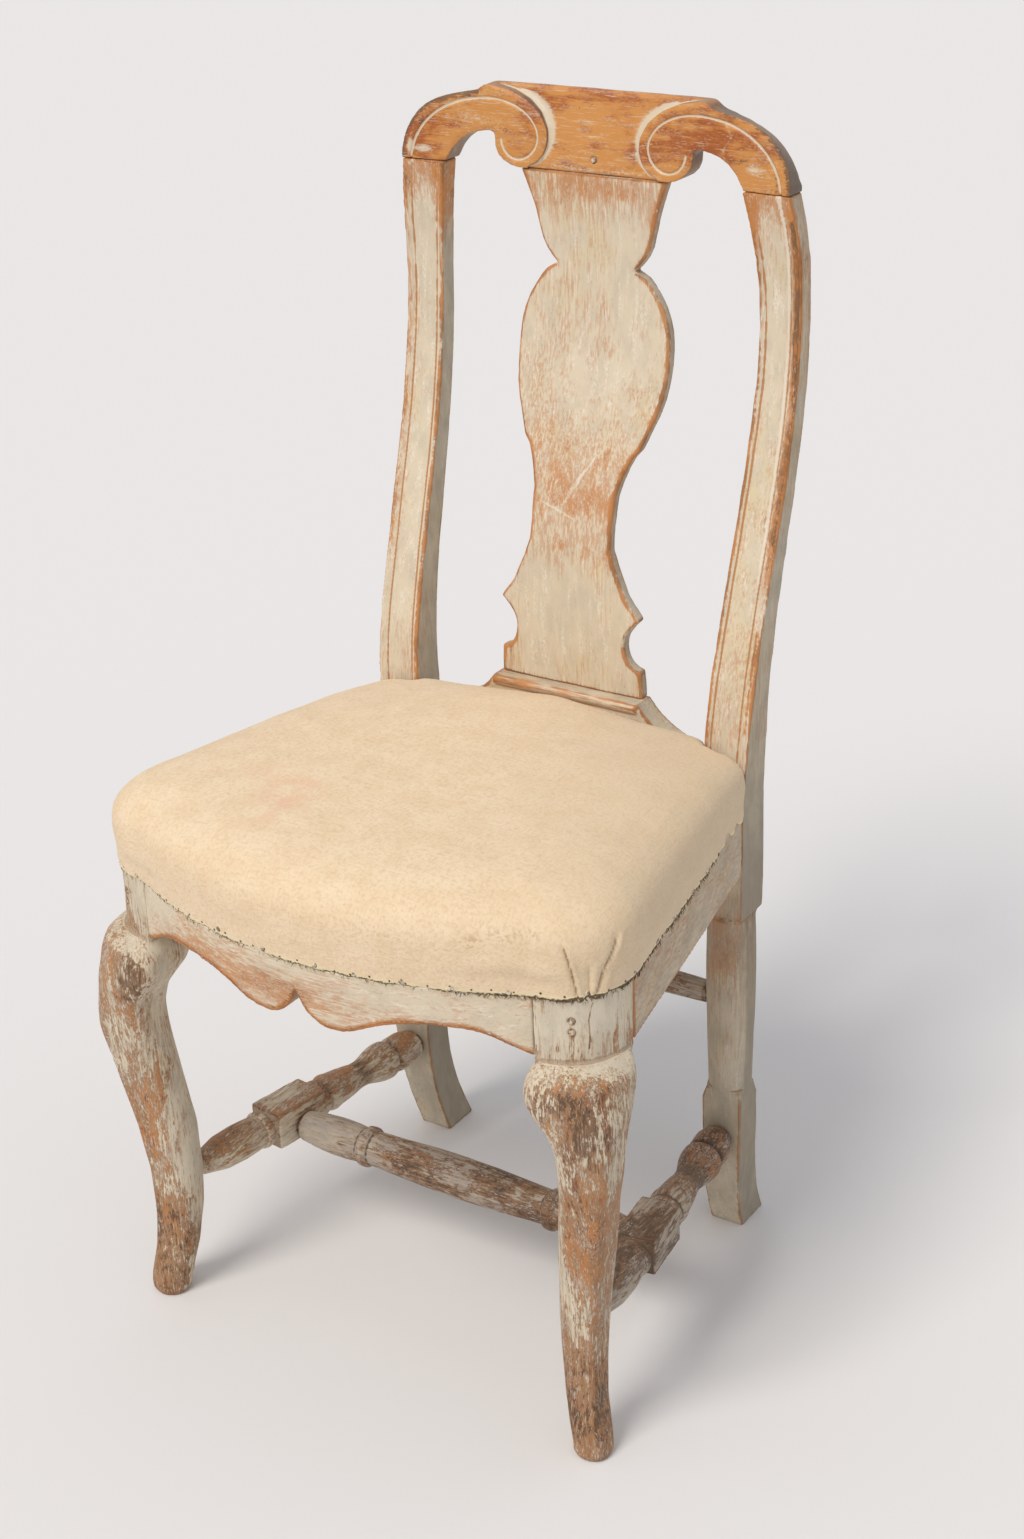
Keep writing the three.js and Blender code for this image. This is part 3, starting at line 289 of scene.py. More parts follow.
def inwards(across, along, step):
    """How far in from the outermost point of its own slice each point lies, in millimetres."""
    level = ((along - along.min()) / (step * MM)).astype(int)
    far = np.full(level.max() + 1, -np.inf)
    np.maximum.at(far, level, across)
    return (far[level] - across) / MM


def from_line(points, normal, line):
    """Distance over the surface to a line of points in millimetres, side, and share of length."""
    line = np.array(line) * MM
    nearest = np.full(len(points), np.inf)
    side = np.zeros(len(points))
    share = np.zeros(len(points))
    for number, (one, other) in enumerate(zip(line, line[1:])):
        along = other - one
        place = np.clip((points - one) @ along / (along @ along), 0, 1)
        away = points - (one + place[:, None] * along)
        outwards = (away * normal).sum(1)
        distance = np.linalg.norm(away - normal * outwards[:, None], axis=1)
        distance = distance + (np.abs(outwards) > LINE_DEPTH)
        closer = distance < nearest
        nearest = np.where(closer, distance, nearest)
        side = np.where(closer, (away * np.cross(normal, along)).sum(1), side)
        share = np.where(closer, (number + place) / (len(line) - 1), share)
    return nearest / MM, side, share


# %% [markdown]
# ## A wooden piece
# The CAD solids have crisp edges. On the real chair a drawknife, a chisel and much handling have
# rounded each arris and left the faces slightly uneven. Each piece is therefore copied and
# skinned again with small even quads by a voxel remesh. A bevel would round the edges too, but
# its few faces couldn't carry the dents and the wear that come next.


# %% Copy a solid and skin it
def baked(thing):
    """The mesh that an object's modifiers make, as its own mesh from now on."""
    seen = thing.evaluated_get(bpy.context.evaluated_depsgraph_get())
    made = bpy.data.meshes.new_from_object(seen)
    thing.modifiers.clear()
    thing.data = made
    return made


def solid_of(name):
    """A CAD node's solid as a bmesh, with its corners joined."""
    shape = bmesh.new()
    shape.from_mesh(nodes[name].data)
    bmesh.ops.remove_doubles(shape, verts=shape.verts, dist=1e-6)
    return shape


def object_of(name, shape):
    """Makes an object in the scene from a bmesh, which it frees."""
    mesh = bpy.data.meshes.new(name)
    shape.to_mesh(mesh)
    shape.free()
    made = bpy.data.objects.new(name, mesh)
    bpy.context.scene.collection.objects.link(made)
    return made


def skinned(name, shape, voxel):
    """An object from a bmesh with an even skin, of faces voxel millimetres wide."""
    thing = object_of(name, shape)
    skin = thing.modifiers.new("Even skin", "REMESH")
    skin.mode = "VOXEL"
    skin.voxel_size = voxel * MM
    baked(thing)
    return thing


# %% [markdown]
# The skin is relaxed a little. Two kinds of piece need more, because the CAD draws their curves
# with flats: the carved outline of the crest, and the legs, which were shaved round with a
# spokeshave. Then soft random values push the surface in and out, arrises lose chips, and on
# the side stretchers a turner's gouge cuts its rings.


# %% The form of a piece
SPLAY = 0.135  # a side stretcher runs inwards by this share of its length, and so do its rings
SPLAY_START = 24  # millimetres, which makes a ring's station the y of its middle


def bend(points, edges, normal, passes):
    """How hollow the surface is at each point, in millimetres: below zero on an arris."""
    return ((relaxed(points, edges, passes) - points) * normal).sum(1) / MM


def softened(mesh, edges, passes, marks):
    """Relaxes the skin and fairs the flats that the CAD's outlines leave. Returns the points."""
    points = relaxed(read(mesh.vertices, "co", 3), edges, passes)
    height = points[:, 2] / MM
    if "outline" in marks:  # all but the front of a carved board, above its joint
        behind = read(mesh.vertex_normals, "vector", 3)[:, 1] > -0.6
        above = risen(height, marks["outline"], 12)
        points = faired(points, edges, behind * above, 150, (1, 0.7, 1))
    if "limb" in marks:  # a leg that was shaved round between two heights
        low, high = marks["limb"]
        within = risen(np.minimum(height - low, high - height), 0, 8)
        points = faired(points, edges, within, 110, (1, 1, 0))
    put(mesh, points)
    return points


def tooled(points, normal, along, fine, seed, relief, swell, rings):
    """How far each point is pushed outwards in millimetres, and how deep in a ring it lies."""
    streaks = cloudy(along, (2.5 * MM, 2.5 * MM, 28 * MM), seed)
    chips = risen(cloudy(along, (5 * MM, 5 * MM, 9 * MM), seed + 1), 0.62, 0.38)
    push = (cloudy(points, 24 * MM, seed + 2) - 0.5) * relief * 2 + (streaks - 0.5) * 0.12
    push += swell - chips * risen(-fine, 0, 0.25) * relief * 1.6
    cut = np.zeros(len(points))
    for station, change, reach in rings:
        place = points[:, 1] / MM - np.abs(points[:, 0] / MM) * SPLAY + SPLAY_START
        ring = peak(place - station, reach)
        push += change * ring
        cut += ring * (change < 0)
    return push, cut


# %% [markdown]
# The same mesh then tells where it is sharp and where it is hollow. Paint wears off the sharp
# places and stays in the hollow ones, so both are kept as attributes for the materials, with
# wear, dirt, rust (a redder brown), chalk (paint that is left) and grime, which also carries
# painted shade: faces that look away from the front are darkened. Some marks follow a
# form: the posts' beads, the front rail's scallop, the crest's shoulders, cracks and scratches.


# %% The wear of a piece
def form_marks(points, front, marks):
    """Yields what the piece's own edges add: a kind of mark and its amount at each point."""
    across, height = np.abs(points[:, 0]), points[:, 2] / MM
    if "bead" in marks:  # the outer edge is handled most, and the bead beside it kept its paint
        amount, low, high = marks["bead"]
        window = risen(height, low, 40) * front
        distance = inwards(across, points[:, 2], 5)
        outside = amount * peak(distance, 9) * window * risen(-height, -high, 20)
        yield "wear", outside
        yield "dirt", outside * 1.1
        yield "chalk", amount * peak(distance - 11, 1.6) * window
    if "lower_edge" in marks:  # knees and brooms rub along the rail's scallop
        distance = inwards(-points[:, 2], points[:, 0], 1.5)
        rubbed = marks["lower_edge"] * peak(distance, 4.5) * front
        yield "wear", rubbed
        yield "rust", rubbed * 0.7
    if "rim" in marks:  # dirt of many hands along the outer edge of the shoulders
        down = inwards(points[:, 2], points[:, 0], 2)
        distance = np.minimum(down, inwards(across, points[:, 2], 2))
        shoulder = risen(across / MM, 100, 12) * marks["rim"]
        yield "dirt", shoulder * (1.3 * peak(distance, 4.5) + 0.5 * peak(distance - 12, 1.8))
        yield "chalk", shoulder * 0.3 * peak(distance - 7, 2.5) * (points[:, 0] < 0)


def aged(points, edges, normal, fine, cut, chalky, marks):
    """The attributes of a piece's wear by name."""
    front = risen(-normal[:, 1], 0.15, 0.5)
    wide = bend(points, edges, normal, 30)
    spotted = ("dirt", "rust", "chalk", "grime")
    kept = {kind: marked(points, 0, marks.get(kind, ())) for kind in spotted}
    kept["wear"] = marked(points, *marks.get("wear", (0.1,)))
    kept["ridge"] = risen(-wide, 0, 0.9) * 0.4 + risen(-fine, 0, 0.22) * 0.6
    kept["ridge"] *= 1 - np.clip(marked(points, 0, marks.get("tight", ())), 0, 1)
    kept["hollow"] = risen(wide, 0, 0.7) * 0.5 + risen(fine, 0, 0.16) * 0.5 + cut * 0.7
    # painted shade: faces that look away from the front are darkened by the piece's sides amount
    kept["grime"] += (1 - front) * marks.get("sides", 0.5)
    kept["dirt"] += cut * 0.8
    if chalky:  # wide hollows, such as a sunk panel's edge, keep their paint too
        kept["chalk"] += risen(bend(points, edges, normal, 320) / 1.2, 0.05, 1) * 0.85
    if "rubbed" in marks:  # the side that boots and hands reach, as a direction times an amount
        kept["wear"] += normal @ np.array(marks["rubbed"])
    for kind, amount in form_marks(points, front, marks):
        kept[kind] += amount
    for line, width, amount in marks.get("cracks", ()):
        crack = peak(from_line(points, normal, line)[0], width)
        kept["wear"] += crack * amount * 2
        kept["dirt"] += crack * amount * 3
    for line, width, amount in marks.get("scratches", ()):
        kept["chalk"] += amount * peak(from_line(points, normal, line)[0], width)
    return kept


# %% Carve one piece
RUN = {"x": (1, 2, 0), "y": (0, 2, 1), "z": (0, 1, 2)}  # puts the grain's direction last
MOST = 175000  # triangles in one piece


def carved(name, finish, grain, voxel, passes=2, relief=0.35, swell=0.0, chalky=False, **marks):
    """Copies a CAD node's solid as a worn wooden piece that replaces it."""
    piece = skinned("wood_" + name, solid_of(name), voxel)
    mesh = piece.data
    seed = sum(ord(letter) for letter in name)
    edges = read(mesh.edges, "vertices", 2)
    points = softened(mesh, edges, passes, marks)
    normal = read(mesh.vertex_normals, "vector", 3)
    fine = bend(points, edges, normal, 6)
    along = points[:, RUN[grain]]
    rings = marks.get("turned", ())
    push, cut = tooled(points, normal, along, fine, seed, relief, swell, rings)
    put(mesh, points + normal * push[:, None] * MM)
    for kind, values in aged(points, edges, normal, fine, cut, chalky, marks).items():
        keep(mesh, kind, values)
    keep(mesh, "grain", along + seed % 17)
    smoothed(mesh)
    if len(mesh.polygons) * 2 > MOST:
        fewer = piece.modifiers.new("Fewer faces", "DECIMATE")
        fewer.ratio = MOST / (len(mesh.polygons) * 2)
        mesh = baked(piece)
    mesh.materials.clear()
    mesh.materials.append(finishes[finish][0])
    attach(piece, "root")
    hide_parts(name)
    print(f"{piece.name}: {sum(len(p.vertices) - 2 for p in mesh.polygons)} triangles")


# %% [markdown]
# ## The worn finish
# The wood is pine, planed and carved by hand. It was primed with a pinkish ground and painted with
# a chalky lead and glue paint, grey-cream, that has no gloss. Over the years the paint has worn
# through: first to the ground, then to the wood, which handling has waxed to a low sheen.
# One function mixes those layers. A score says how far a spot has worn. It adds the piece's own
# wear, its ridges and hollows, and noise at several sizes: patches of 45 mm, chips of a few
# millimetres, and streaks 2 mm wide that run with the grain. Hands wear paint softly, so the
# chalk paint's layers fade into each other, while paint that is kicked off leaves crisp flakes.


# %% Where each layer of the finish lies
def worn_values(tree, looks):
    """Values by name: the piece's attributes, noises along its grain, and sums of both."""
    kinds = ("ridge", "hollow", "wear", "dirt", "rust", "chalk", "grime")
    value = {kind: add(tree, "Attribute", attribute_name=kind).outputs["Fac"] for kind in kinds}
    grain = add(tree, "Attribute", attribute_name="grain").outputs["Vector"]
    patterns = (  # size, squeeze with the grain last, detail, roughness, shift, lean
        ("patches", 45, (1, 1, 1 / 1.6), 3, 0.6, 0.0, 0.0),
        ("mottle", 16, (1, 1, 1 / 1.8), 4, 0.6, 4.4, 0.0),
        ("broad", 6, (1, 1, 1 / 8), 3, 0.6, 5.7, 0.0),
        ("streaks", 1.7, (1, 1, 1 / 13), 4, 0.6, 3.1, 0.0),
        ("chips", looks["chip"], (1, 1, 1 / 2.4), 6, 0.7, 8.3, 0.0),
        ("flecks", 1.4, (1, 1, 1 / 2.2), 3, 0.6, 1.9, 0.0),
        ("scratch", 0.9, (1, 1, 1 / 24), 2, 0.5, 6.6, 0.5),
    )
    patterned(tree, value, grain, patterns)
    sums = {  # what each is made of: a value, its weight and the middle it swings about
        "score": (
            ("wear", 1, 0),
            ("patches", looks["patchy"], 0.5),
            ("broad", looks["broadly"], 0.5),
            ("streaks", looks["streaky"], 0.5),
            ("chips", looks["chippy"], 0.5),
            ("ridge", looks["edge_wear"], 0.1),
            ("hollow", -looks["hollow_hold"], 0.1),
        ),
        "deep": (("rust", 1, 0), ("broad", 0.9, 0.5), ("mottle", 1.7, 0.5), ("streaks", 0.8, 0.5)),
        "fresh": (
            ("broad", 1, 0.5),
            ("flecks", 0.4, 0.5),
            ("patches", 0.7, 0.5),
            ("dirt", -0.3, 0),
            ("rust", -0.3, 0),
        ),
        "dark": (
            ("dirt", 0.35, 0),
            ("chips", 1, 0.5),
            ("patches", 0.8, 0.5),
            ("streaks", 0.4, 0.5),
        ),
        "film": (("streaks", 1, 0.5), ("flecks", 1, 0.5), ("mottle", 0.7, 0.5), ("dirt", -0.2, 0)),
        "blush": (("streaks", 1.2, 0), ("flecks", 0.6, 0.5)),
        "arris": (("ridge", 1, 0), ("streaks", 0.9, 0.5), ("patches", 1.8, 0.5)),
        "left": (
            ("hollow", looks["hollow_chalk"], 0),
            ("chalk", 1, 0),
            ("broad", 0.9, 0.5),
            ("flecks", 0.8, 0.5),
        ),
        "grime_and_shade_sum": (("grime", 1, 0), ("mottle", 0.5, 0.5)),
    }
    for total, terms in sums.items():
        value[total] = summed(tree, value, terms)
    gone, soft = 0.6, looks["soft"]  # the score at which half of the paint is gone
    links = {"Value": value["score"], "From Min": gone + soft, "From Max": gone - soft}
    value["painted"] = add(tree, "MapRange", links, interpolation_type="SMOOTHSTEP").outputs[0]
    rise = (("painted", 0.6, 0), ("streaks", 0.45, 0.5), ("chips", 0.5, 0.5), ("flecks", 0.3, 0.5))
    value["relief"] = summed(tree, value, rise)
    return value


# %% The finish as a material
def worn_paint(name, looks):
    """Paint over a ground over wood, worn by the piece's own attributes."""
    made = bpy.data.materials.new(name)
    tree = emptied(made)
    value = worn_values(tree, looks)
    colour = {key: linear(code) for key, code in looks.items() if isinstance(code, str)}
    wood_layers = [  # grain, redder and fresher places, dirt, then ground, haze and scratches
        (colour["pale"], 1.0, ("streaks", 0.46, 0.7), ("mottle", 0.3, 0.65)),
        (colour["deep"], 1.0, ("deep", 0.0, 0.45)),
        (colour["fresh"], looks["fresh_share"], ("fresh", 0.05, 0.17)),
        (colour["dirt"], 0.85, ("dark", looks["dirt_from"], looks["dirt_from"] + 0.16)),
        (colour["ground"], looks["ground_share"], ("score", 1.15, 0.7)),
        (colour["haze"], looks["film"], ("film", 0.04, 0.22)),
        (colour["light"], 0.5, ("scratch", 0.63, 0.7)),
    ]
    paint_layers = [  # cloudy, thin and blushing where it is nearly gone, brown in its hollows
        (colour["shade"], 0.6, ("mottle", 0.38, 0.66)),
        (colour["aged"], 1.0, ("patches", 0.5, 0.64), ("flecks", 0.3, 0.7)),
        (colour["light"], 1.0, ("broad", 0.46, 0.66), ("flecks", 0.4, 0.6)),
        (colour["ground"], looks["blush_share"], ("score", 0.05, 0.5), ("blush", 0.45, 0.75)),
        (colour["line"], looks["hollow_line"], ("hollow", 0.2, 0.6)),
        (colour["deep"], looks["specks"], ("flecks", 0.62, 0.68), ("mottle", 0.46, 0.62)),
    ]
    arris_layers = [(colour["deep"], 1.0, ("mottle", 0.4, 0.62))]
    wood = laid(tree, value, colour["wood"], wood_layers)
    paint = laid(tree, value, colour["paint"], paint_layers)
    arris = laid(tree, value, colour["wood"], arris_layers)
    face_layers = [  # the paint on the wood, rubbed arrises, chalk that is left, then grime and painted shade
        (paint, value["painted"]),
        (arris, looks["arris_share"], ("arris", 0.48, 0.85)),
        (colour["light"], looks["chalk_share"], ("left", 0.2, 0.75)),
        # grime, with painted shade on the faces that look away from the front
        (colour["grime"], 0.8, ("grime_and_shade_sum", 0.0, 1.0)),
    ]
    links = {"Value": value["painted"], "To Min": looks["wood_rough"], "To Max": 0.82}
    rough = add(tree, "MapRange", links)
    links = {"Strength": 1.0, "Distance": looks["bump"] * MM, "Height": value["relief"]}
    bump = add(tree, "Bump", links)
    links = {
        "Base Color": laid(tree, value, wood, face_layers),
        "Roughness": rough.outputs[0],
        "Specular IOR Level": 0.4,
        "Normal": bump.outputs[0],
    }
    shader = add(tree, "BsdfPrincipled", links)
    add(tree, "OutputMaterial", {"Surface": shader.outputs[0]})
    return made


# %% [markdown]
# Four finishes share that recipe. Each names its colours and says how the layers behave: how
# large the chips are in millimetres, how much each noise adds to the score, how soft the paint's
# edge is, how large a share a layer takes at most, and how deep the bump is in millimetres.

# %% The finishes of this chair
chalk_paint = dict(  # glue paint, brushed on: matt, cream to pale grey, thin at the edges
    paint="#dccdb4",
    shade="#cabea8",
    aged="#dccba3",
    light="#e9dfcd",
    haze="#ddcdb6",
    ground="#c79a77",
    wood="#c28148",
    deep="#9c6330",
    pale="#d09a62",
    fresh="#cf8c4c",
    dirt="#6a5039",
    line="#b0743f",
    # the colour of grime and of the painted shade on the sides
    grime="#8a8172",
    chip=4.0,
    patchy=1.2,
    broadly=0.8,
    streaky=0.6,
    chippy=0.7,
    soft=0.13,
    edge_wear=0.35,
    hollow_hold=0.1,
    arris_share=0.85,
    ground_share=0.6,
    blush_share=0.75,
    hollow_line=0.85,
    hollow_chalk=0.0,
    chalk_share=0.8,
    specks=0.4,
    film=0.45,
    fresh_share=0.4,
    dirt_from=0.16,
    wood_rough=0.6,
    bump=0.25,
)
bare_pine = chalk_paint | dict(  # stripped and rubbed: orange, waxy, paint left in the carving
    wood="#cb8b4a",
    deep="#a45822",
    pale="#d8a76a",
    fresh="#d49c5a",
    light="#ddd0b8",
    # the colour of grime and of the painted shade on the sides
    grime="#5f5346",
    chippy=0.5,
    edge_wear=0.1,
    arris_share=0.0,
    ground_share=0.0,
    hollow_chalk=1.15,
    chalk_share=0.86,
    film=0.26,
    fresh_share=0.7,
    dirt_from=0.22,
    wood_rough=0.42,
    bump=0.18,
)
scuffed_pine = chalk_paint | dict(  # kicked and scrubbed: brown wood under flakes of paint
    paint="#d8ccb6",
    shade="#c2b7a4",
    aged="#d3c5a4",
    light="#ddd2bf",
    haze="#c0b3a4",
    ground="#b3906f",
    wood="#986e4c",
    deep="#7a4628",
    pale="#b48d64",
    fresh="#bf7c3f",
    dirt="#503c2c",
    line="#84603f",
    chip=3.6,
    patchy=2.0,
    broadly=1.2,
    streaky=1.2,
    chippy=1.7,
    soft=0.06,
    edge_wear=0.3,
    arris_share=0.4,
    ground_share=0.35,
    hollow_line=0.5,
    film=0.8,
    fresh_share=0.6,
    dirt_from=0.13,
    wood_rough=0.62,
    bump=0.4,
)
boot_worn_pine = scuffed_pine | dict(  # rubbed by boots: brown, with violet-grey remains
    paint="#b9ad9c",
    shade="#9d9492",
    aged="#bdb093",
    light="#c6bdb0",
    haze="#bab0a8",
    ground="#9c7f64",
    wood="#8a6244",
    deep="#5c402d",
    pale="#9d7348",
    fresh="#a9713c",
    dirt="#46372b",
    line="#5f4833",
    hollow_line=0.85,
    dirt_from=0.04,
)
finishes = {
    "paint": (worn_paint("chalk_paint_on_pine", chalk_paint), "painted_wood"),
    "bare": (worn_paint("waxed_bare_pine", bare_pine), "stripped_wood"),
    "scuffed": (worn_paint("scuffed_pine", scuffed_pine), "worn_wood"),
    "boots": (worn_paint("boot_worn_pine", boot_worn_pine), "worn_wood"),
}
print("finishes:", ", ".join(finishes))

# %% [markdown]
# ## The back
# Posts, crest, splat and shoe. The crest is the show piece: its paint is gone but for the
# grooves. The posts keep cream paint on their faces and have lost it along the beads.
# Each call names a piece, its finish, the way its grain runs and how wide the faces of its skin
# are. Then come rows of spots. A spot is its middle, its reach along x, y and z, all in
# millimetres, and an amount. Wear has a base value before its spots, and a crack or a scratch is
# a line of points, its width and an amount.

# %% Crest, splat and shoe
# sides: how much painted shade darkens a piece's faces that look away from the front
carved(
    "crest_rail",
    "bare",
    "x",
    0.85,
    relief=0.25,
    chalky=True,
    wear=(1.1, [(-122, 0, 975, 30, FAR, 16, -0.3)]),
    rust=[
        (0, 0, 996, 75, FAR, 10, 0.3),
        (110, 0, 972, 42, FAR, 26, 0.5),
        (-162, 0, 952, 26, FAR, 30, 0.4),
        (-60, 0, 978, 14, FAR, 20, 0.35),
        (45, 0, 962, 22, FAR, 12, 0.3),
    ],
    chalk=[
        (152, 0, 954, 12, FAR, 5, 0.6),
        (-137, 228, 943, 9, 6, 4, 0.6),
        (-163, 0, 945, 10, FAR, 4, 0.75),
        (-176, 0, 947, 3, FAR, 5, 0.7),
        (-160, 0, 921, 30, FAR, 2.5, 0.55),
        (165, 0, 921, 26, FAR, 2.5, 0.5),
        (-119, 0, 973, 19, FAR, 10, 0.34),
        (-8, 0, 939, 70, FAR, 3, 0.35),
    ],
    dirt=[
        (-160, 0, 960, 30, FAR, 20, 0.3),
        (130, 0, 960, 30, FAR, 20, 0.3),
        (-15, 0, 994, 30, FAR, 8, 0.5),
    ],
    cracks=[
        (
            [(-25, 229.7, 967), (-18, 230.7, 971.6), (-11.6, 233.2, 981), (-6, 235.8, 991)],
            0.75,
            0.42,
        ),
        ([(-21.6, 232, 976.7), (-17.3, 235, 988)], 0.65, 0.36),
    ],
    scratches=[
        ([(4, 229, 966), (10, 230, 972)], 1.1, 0.3),
        ([(30, 226, 952), (52, 226, 960)], 1.0, 0.25),
        ([(124.8, 222, 987), (129.7, 221.4, 977), (122.8, 221, 966), (124, 221, 958)], 1.3, 0.42),
    ],
    # painted shade: darker at the crest's two ends, and none on its top
    grime=[
        (190, 240, 960, 18, 14, 40, 0.6),
        (-190, 240, 960, 18, 14, 40, 0.5),
        (0, 238, 1001, 105, FAR, 6, -0.6),
    ],
    outline=941,
    rim=0.9,
    sides=0.8,
)
carved(
    "splat",
    "paint",
    "z",
    1.2,
    wear=(
        0.17,
        [
            (0, 0, 676, 75, FAR, 60, 0.47),
            (0, 0, 560, 75, FAR, 40, -0.12),
            (5, 0, 624, 60, FAR, 10, 0.25),
            (10, 0, 925, 90, FAR, 20, 0.58),
            (8, 0, 823, 8, FAR, 14, 0.32),
            (12, 0, 793, 8, FAR, 10, 0.32),
            (43, 0, 765, 9, FAR, 10, 0.3),
            (54, 0, 903, 8, FAR, 16, 0.35),
            (-25, 0, 845, 7, FAR, 10, 0.24),
            (-32, 0, 790, 7, FAR, 14, 0.26),
            (-45, 0, 770, 16, FAR, 60, 0.2),
            (12, 0, 800, 30, FAR, 40, 0.1),
        ],
    ),
    chalk=[(-16, 0, 655, 15, FAR, 13, 0.32), (10, 0, 690, 22, FAR, 26, 0.16)],
    scratches=[
        ([(17.8, 192.7, 708), (5, 184.7, 685), (-9.4, 178.2, 663)], 0.9, 0.5),
        ([(-31.7, 178.4, 664), (-12, 177, 658), (4.7, 175.9, 652)], 0.9, 0.5),
        ([(8.6, 187.7, 694), (-6, 181, 672)], 0.8, 0.45),
        ([(-20.6, 186.2, 690), (-25, 175, 648)], 0.9, 0.4),
        ([(8.7, 196.7, 718), (2, 180, 670)], 0.8, 0.35),
    ],
)
carved("splat_shoe", "paint", "x", 1.1, wear=(0.16, [(0, 0, 500, 75, FAR, 5, 0.22)]), sides=0.4)
carved("splat_peg", "scuffed", "z", 0.6, relief=0.05, swell=0.1, wear=(0.1,))

# %% Posts
for side, sign, worn, handled in (("left", -1, 0.35, 0.2), ("right", 1, 0.85, 0.75)):
    outer = (sign * 198, 235, 870, 8, 30, 80)  # the edge by which the chair is pulled
    inner = (sign * 146, 235, 912, 9, 30, 34)  # the edge towards the splat, under the crest
    carved(
        f"rear_post_{side}",
        "paint",
        "z",
        1.1,
        passes=1,
        wear=(
            0.1,
            [
                (sign * 160, 0, 932, 60, FAR, 24, 0.75),
                (sign * 150, 0, 880, 7, FAR, 50, 0.5),
                (*outer, handled),
                (sign * 175, 0, 560, 30, FAR, 70, 0.12),
                (sign * 168, 0, 505, 30, FAR, 30, 0.15),
                (sign * 165, 0, 270, 60, FAR, 60, 0.22),
                (sign * 165, 0, 330, 60, FAR, 50, 0.44),
                (*inner, 0.55),
            ],
        ),
        dirt=[(*outer, handled * 1.5)],
        chalk=[(sign * 165, 0, 934, 40, FAR, 2.5, 0.3)],
        bead=(worn, 600, 935),
        # darker low on the posts, below the seat, and less dark along the handled edges
        grime=[
            (sign * 165, 0, 120, 60, FAR, 160, 0.45),
            (sign * 165, 0, 330, 60, FAR, 110, 0.5),
            (*outer, -handled * 0.6),
            (*inner, -0.4),
        ],
    )

# %% [markdown]
# ## The seat frame and the front legs
# The rails keep most of their paint. The cabriole legs were kicked and scrubbed: the knees and
# the outer sides are brown wood with dark scuffs, and the blocks above them are still pale.
# The two legs wore differently, so a spot that is written without sign marks one leg only.

# %% Rails and legs
carved(
    "front_seat_rail",
    "paint",
    "x",
    1.2,
    passes=4,
    wear=(0.26, [(-5, 0, 400, 66, FAR, 16, 0.68), (-110, 0, 402, 60, FAR, 16, 0.3)]),
    lower_edge=1.0,
    rust=[(-5, 0, 402, 62, FAR, 16, 0.3)],
    tight=[(-188, -200, 400, 5, FAR, FAR, 1), (188, -200, 400, 5, FAR, FAR, 1)],
    chalk=[(0, 0, 427, FAR, FAR, 3, 0.45)],
    sides=0.35,
)
carved("rear_seat_rail", "paint", "x", 1.4)
for side, sign in (("left", -1), ("right", 1)):
    carved(
        f"side_seat_rail_{side}",
        "paint",
        "y",
        1.3,
        wear=(0.36, [(0, -60, 410, FAR, 120, 18, 0.12)]),
        dirt=[(0, -60, 410, FAR, 150, 30, 0.2)],
        sides=0.45,
    )
    carved(
        f"front_leg_{side}",
        "scuffed",
        "z",
        1.1,
        relief=0.45,
        limb=(6, 372),
        tight=[(sign * 190, -200, 410, 5, FAR, 40, 1)],
        wear=(
            0.47,
            [
                (sign * 215, -190, 412, FAR, FAR, 34, -0.72),
                (sign * 215, -190, 366, FAR, FAR, 8, -0.2),
                (sign * 222, -190, 40, FAR, FAR, 60, 0.2),
                (253, -178, 335, 9, 14, 24, -0.4),
                (205, -212, 352, 14, 12, 10, -0.2),
                (206, -208, 296, 8, 12, 34, -0.45),
                (204, -196, 210, 7, 14, 40, -0.3),
            ],
        ),
        rubbed=(sign * 0.22, -0.3, 0),
        rust=[
            (244, -197, 335, 10, 12, 26, 0.6),
            (224, -206, 290, 12, 12, 24, 0.6),
            (200, -213, 340, 12, 12, 10, 0.6),
            (248, -203, 285, 8, 12, 20, -0.6),
            (233, -206, 300, 4, 14, 30, -1.1),
            (212, -211, 320, 4, 14, 20, -1.1),
            (-224, -211, 318, 5, 14, 30, -1.0),
            (-218, -208, 300, 14, 14, 40, -0.8),
            (-208, -192, 190, 12, 14, 50, -0.9),
            (-207, -186, 90, 10, 14, 45, -0.7),
            (222, -190, 170, 12, 14, 50, -0.4),
        ],
        dirt=[
            (-199, -211, 344, 13, 14, 20, 1.1),
            (236, -204, 318, 10, 14, 26, 1.0),
            (214, -212, 346, 16, 14, 10, 0.7),
            (sign * 219, -190, 90, 30, 40, 26, 0.35),
            (-214, -212, 320, 12, 14, 16, 0.5),
            (247, -196, 322, 12, 14, 30, 0.6),
            (222, -205, 275, 10, 14, 30, 0.3),
            (sign * 219, -187, 40, 40, 40, 36, 0.5),
        ],
        chalk=[(sign * 215, -215, 372, 40, 40, 7, 0.35), (253, -180, 335, 7, 10, 18, 0.3)],
        cracks=[
            ([(228.6, -176, 422), (226, -178, 408), (227, -178, 395), (226, -178, 383)], 0.8, 0.42)
        ],
        sides=0.05,
    )
    for number in (1, 2):
        carved(
            f"rail_peg_{side}_{number}",
            "scuffed",
            "y",
            0.6,
            relief=0.1,
            swell=0.3,
            wear=(0.45,),
            dirt=[(0, 0, 0, FAR, FAR, FAR, 0.6)],
        )

# %% [markdown]
# ## The stretchers
# Turned on a lathe, with a square block left in the middle of each side stretcher. Boots have
# rubbed them bare, and the paint that is left looks violet-grey.

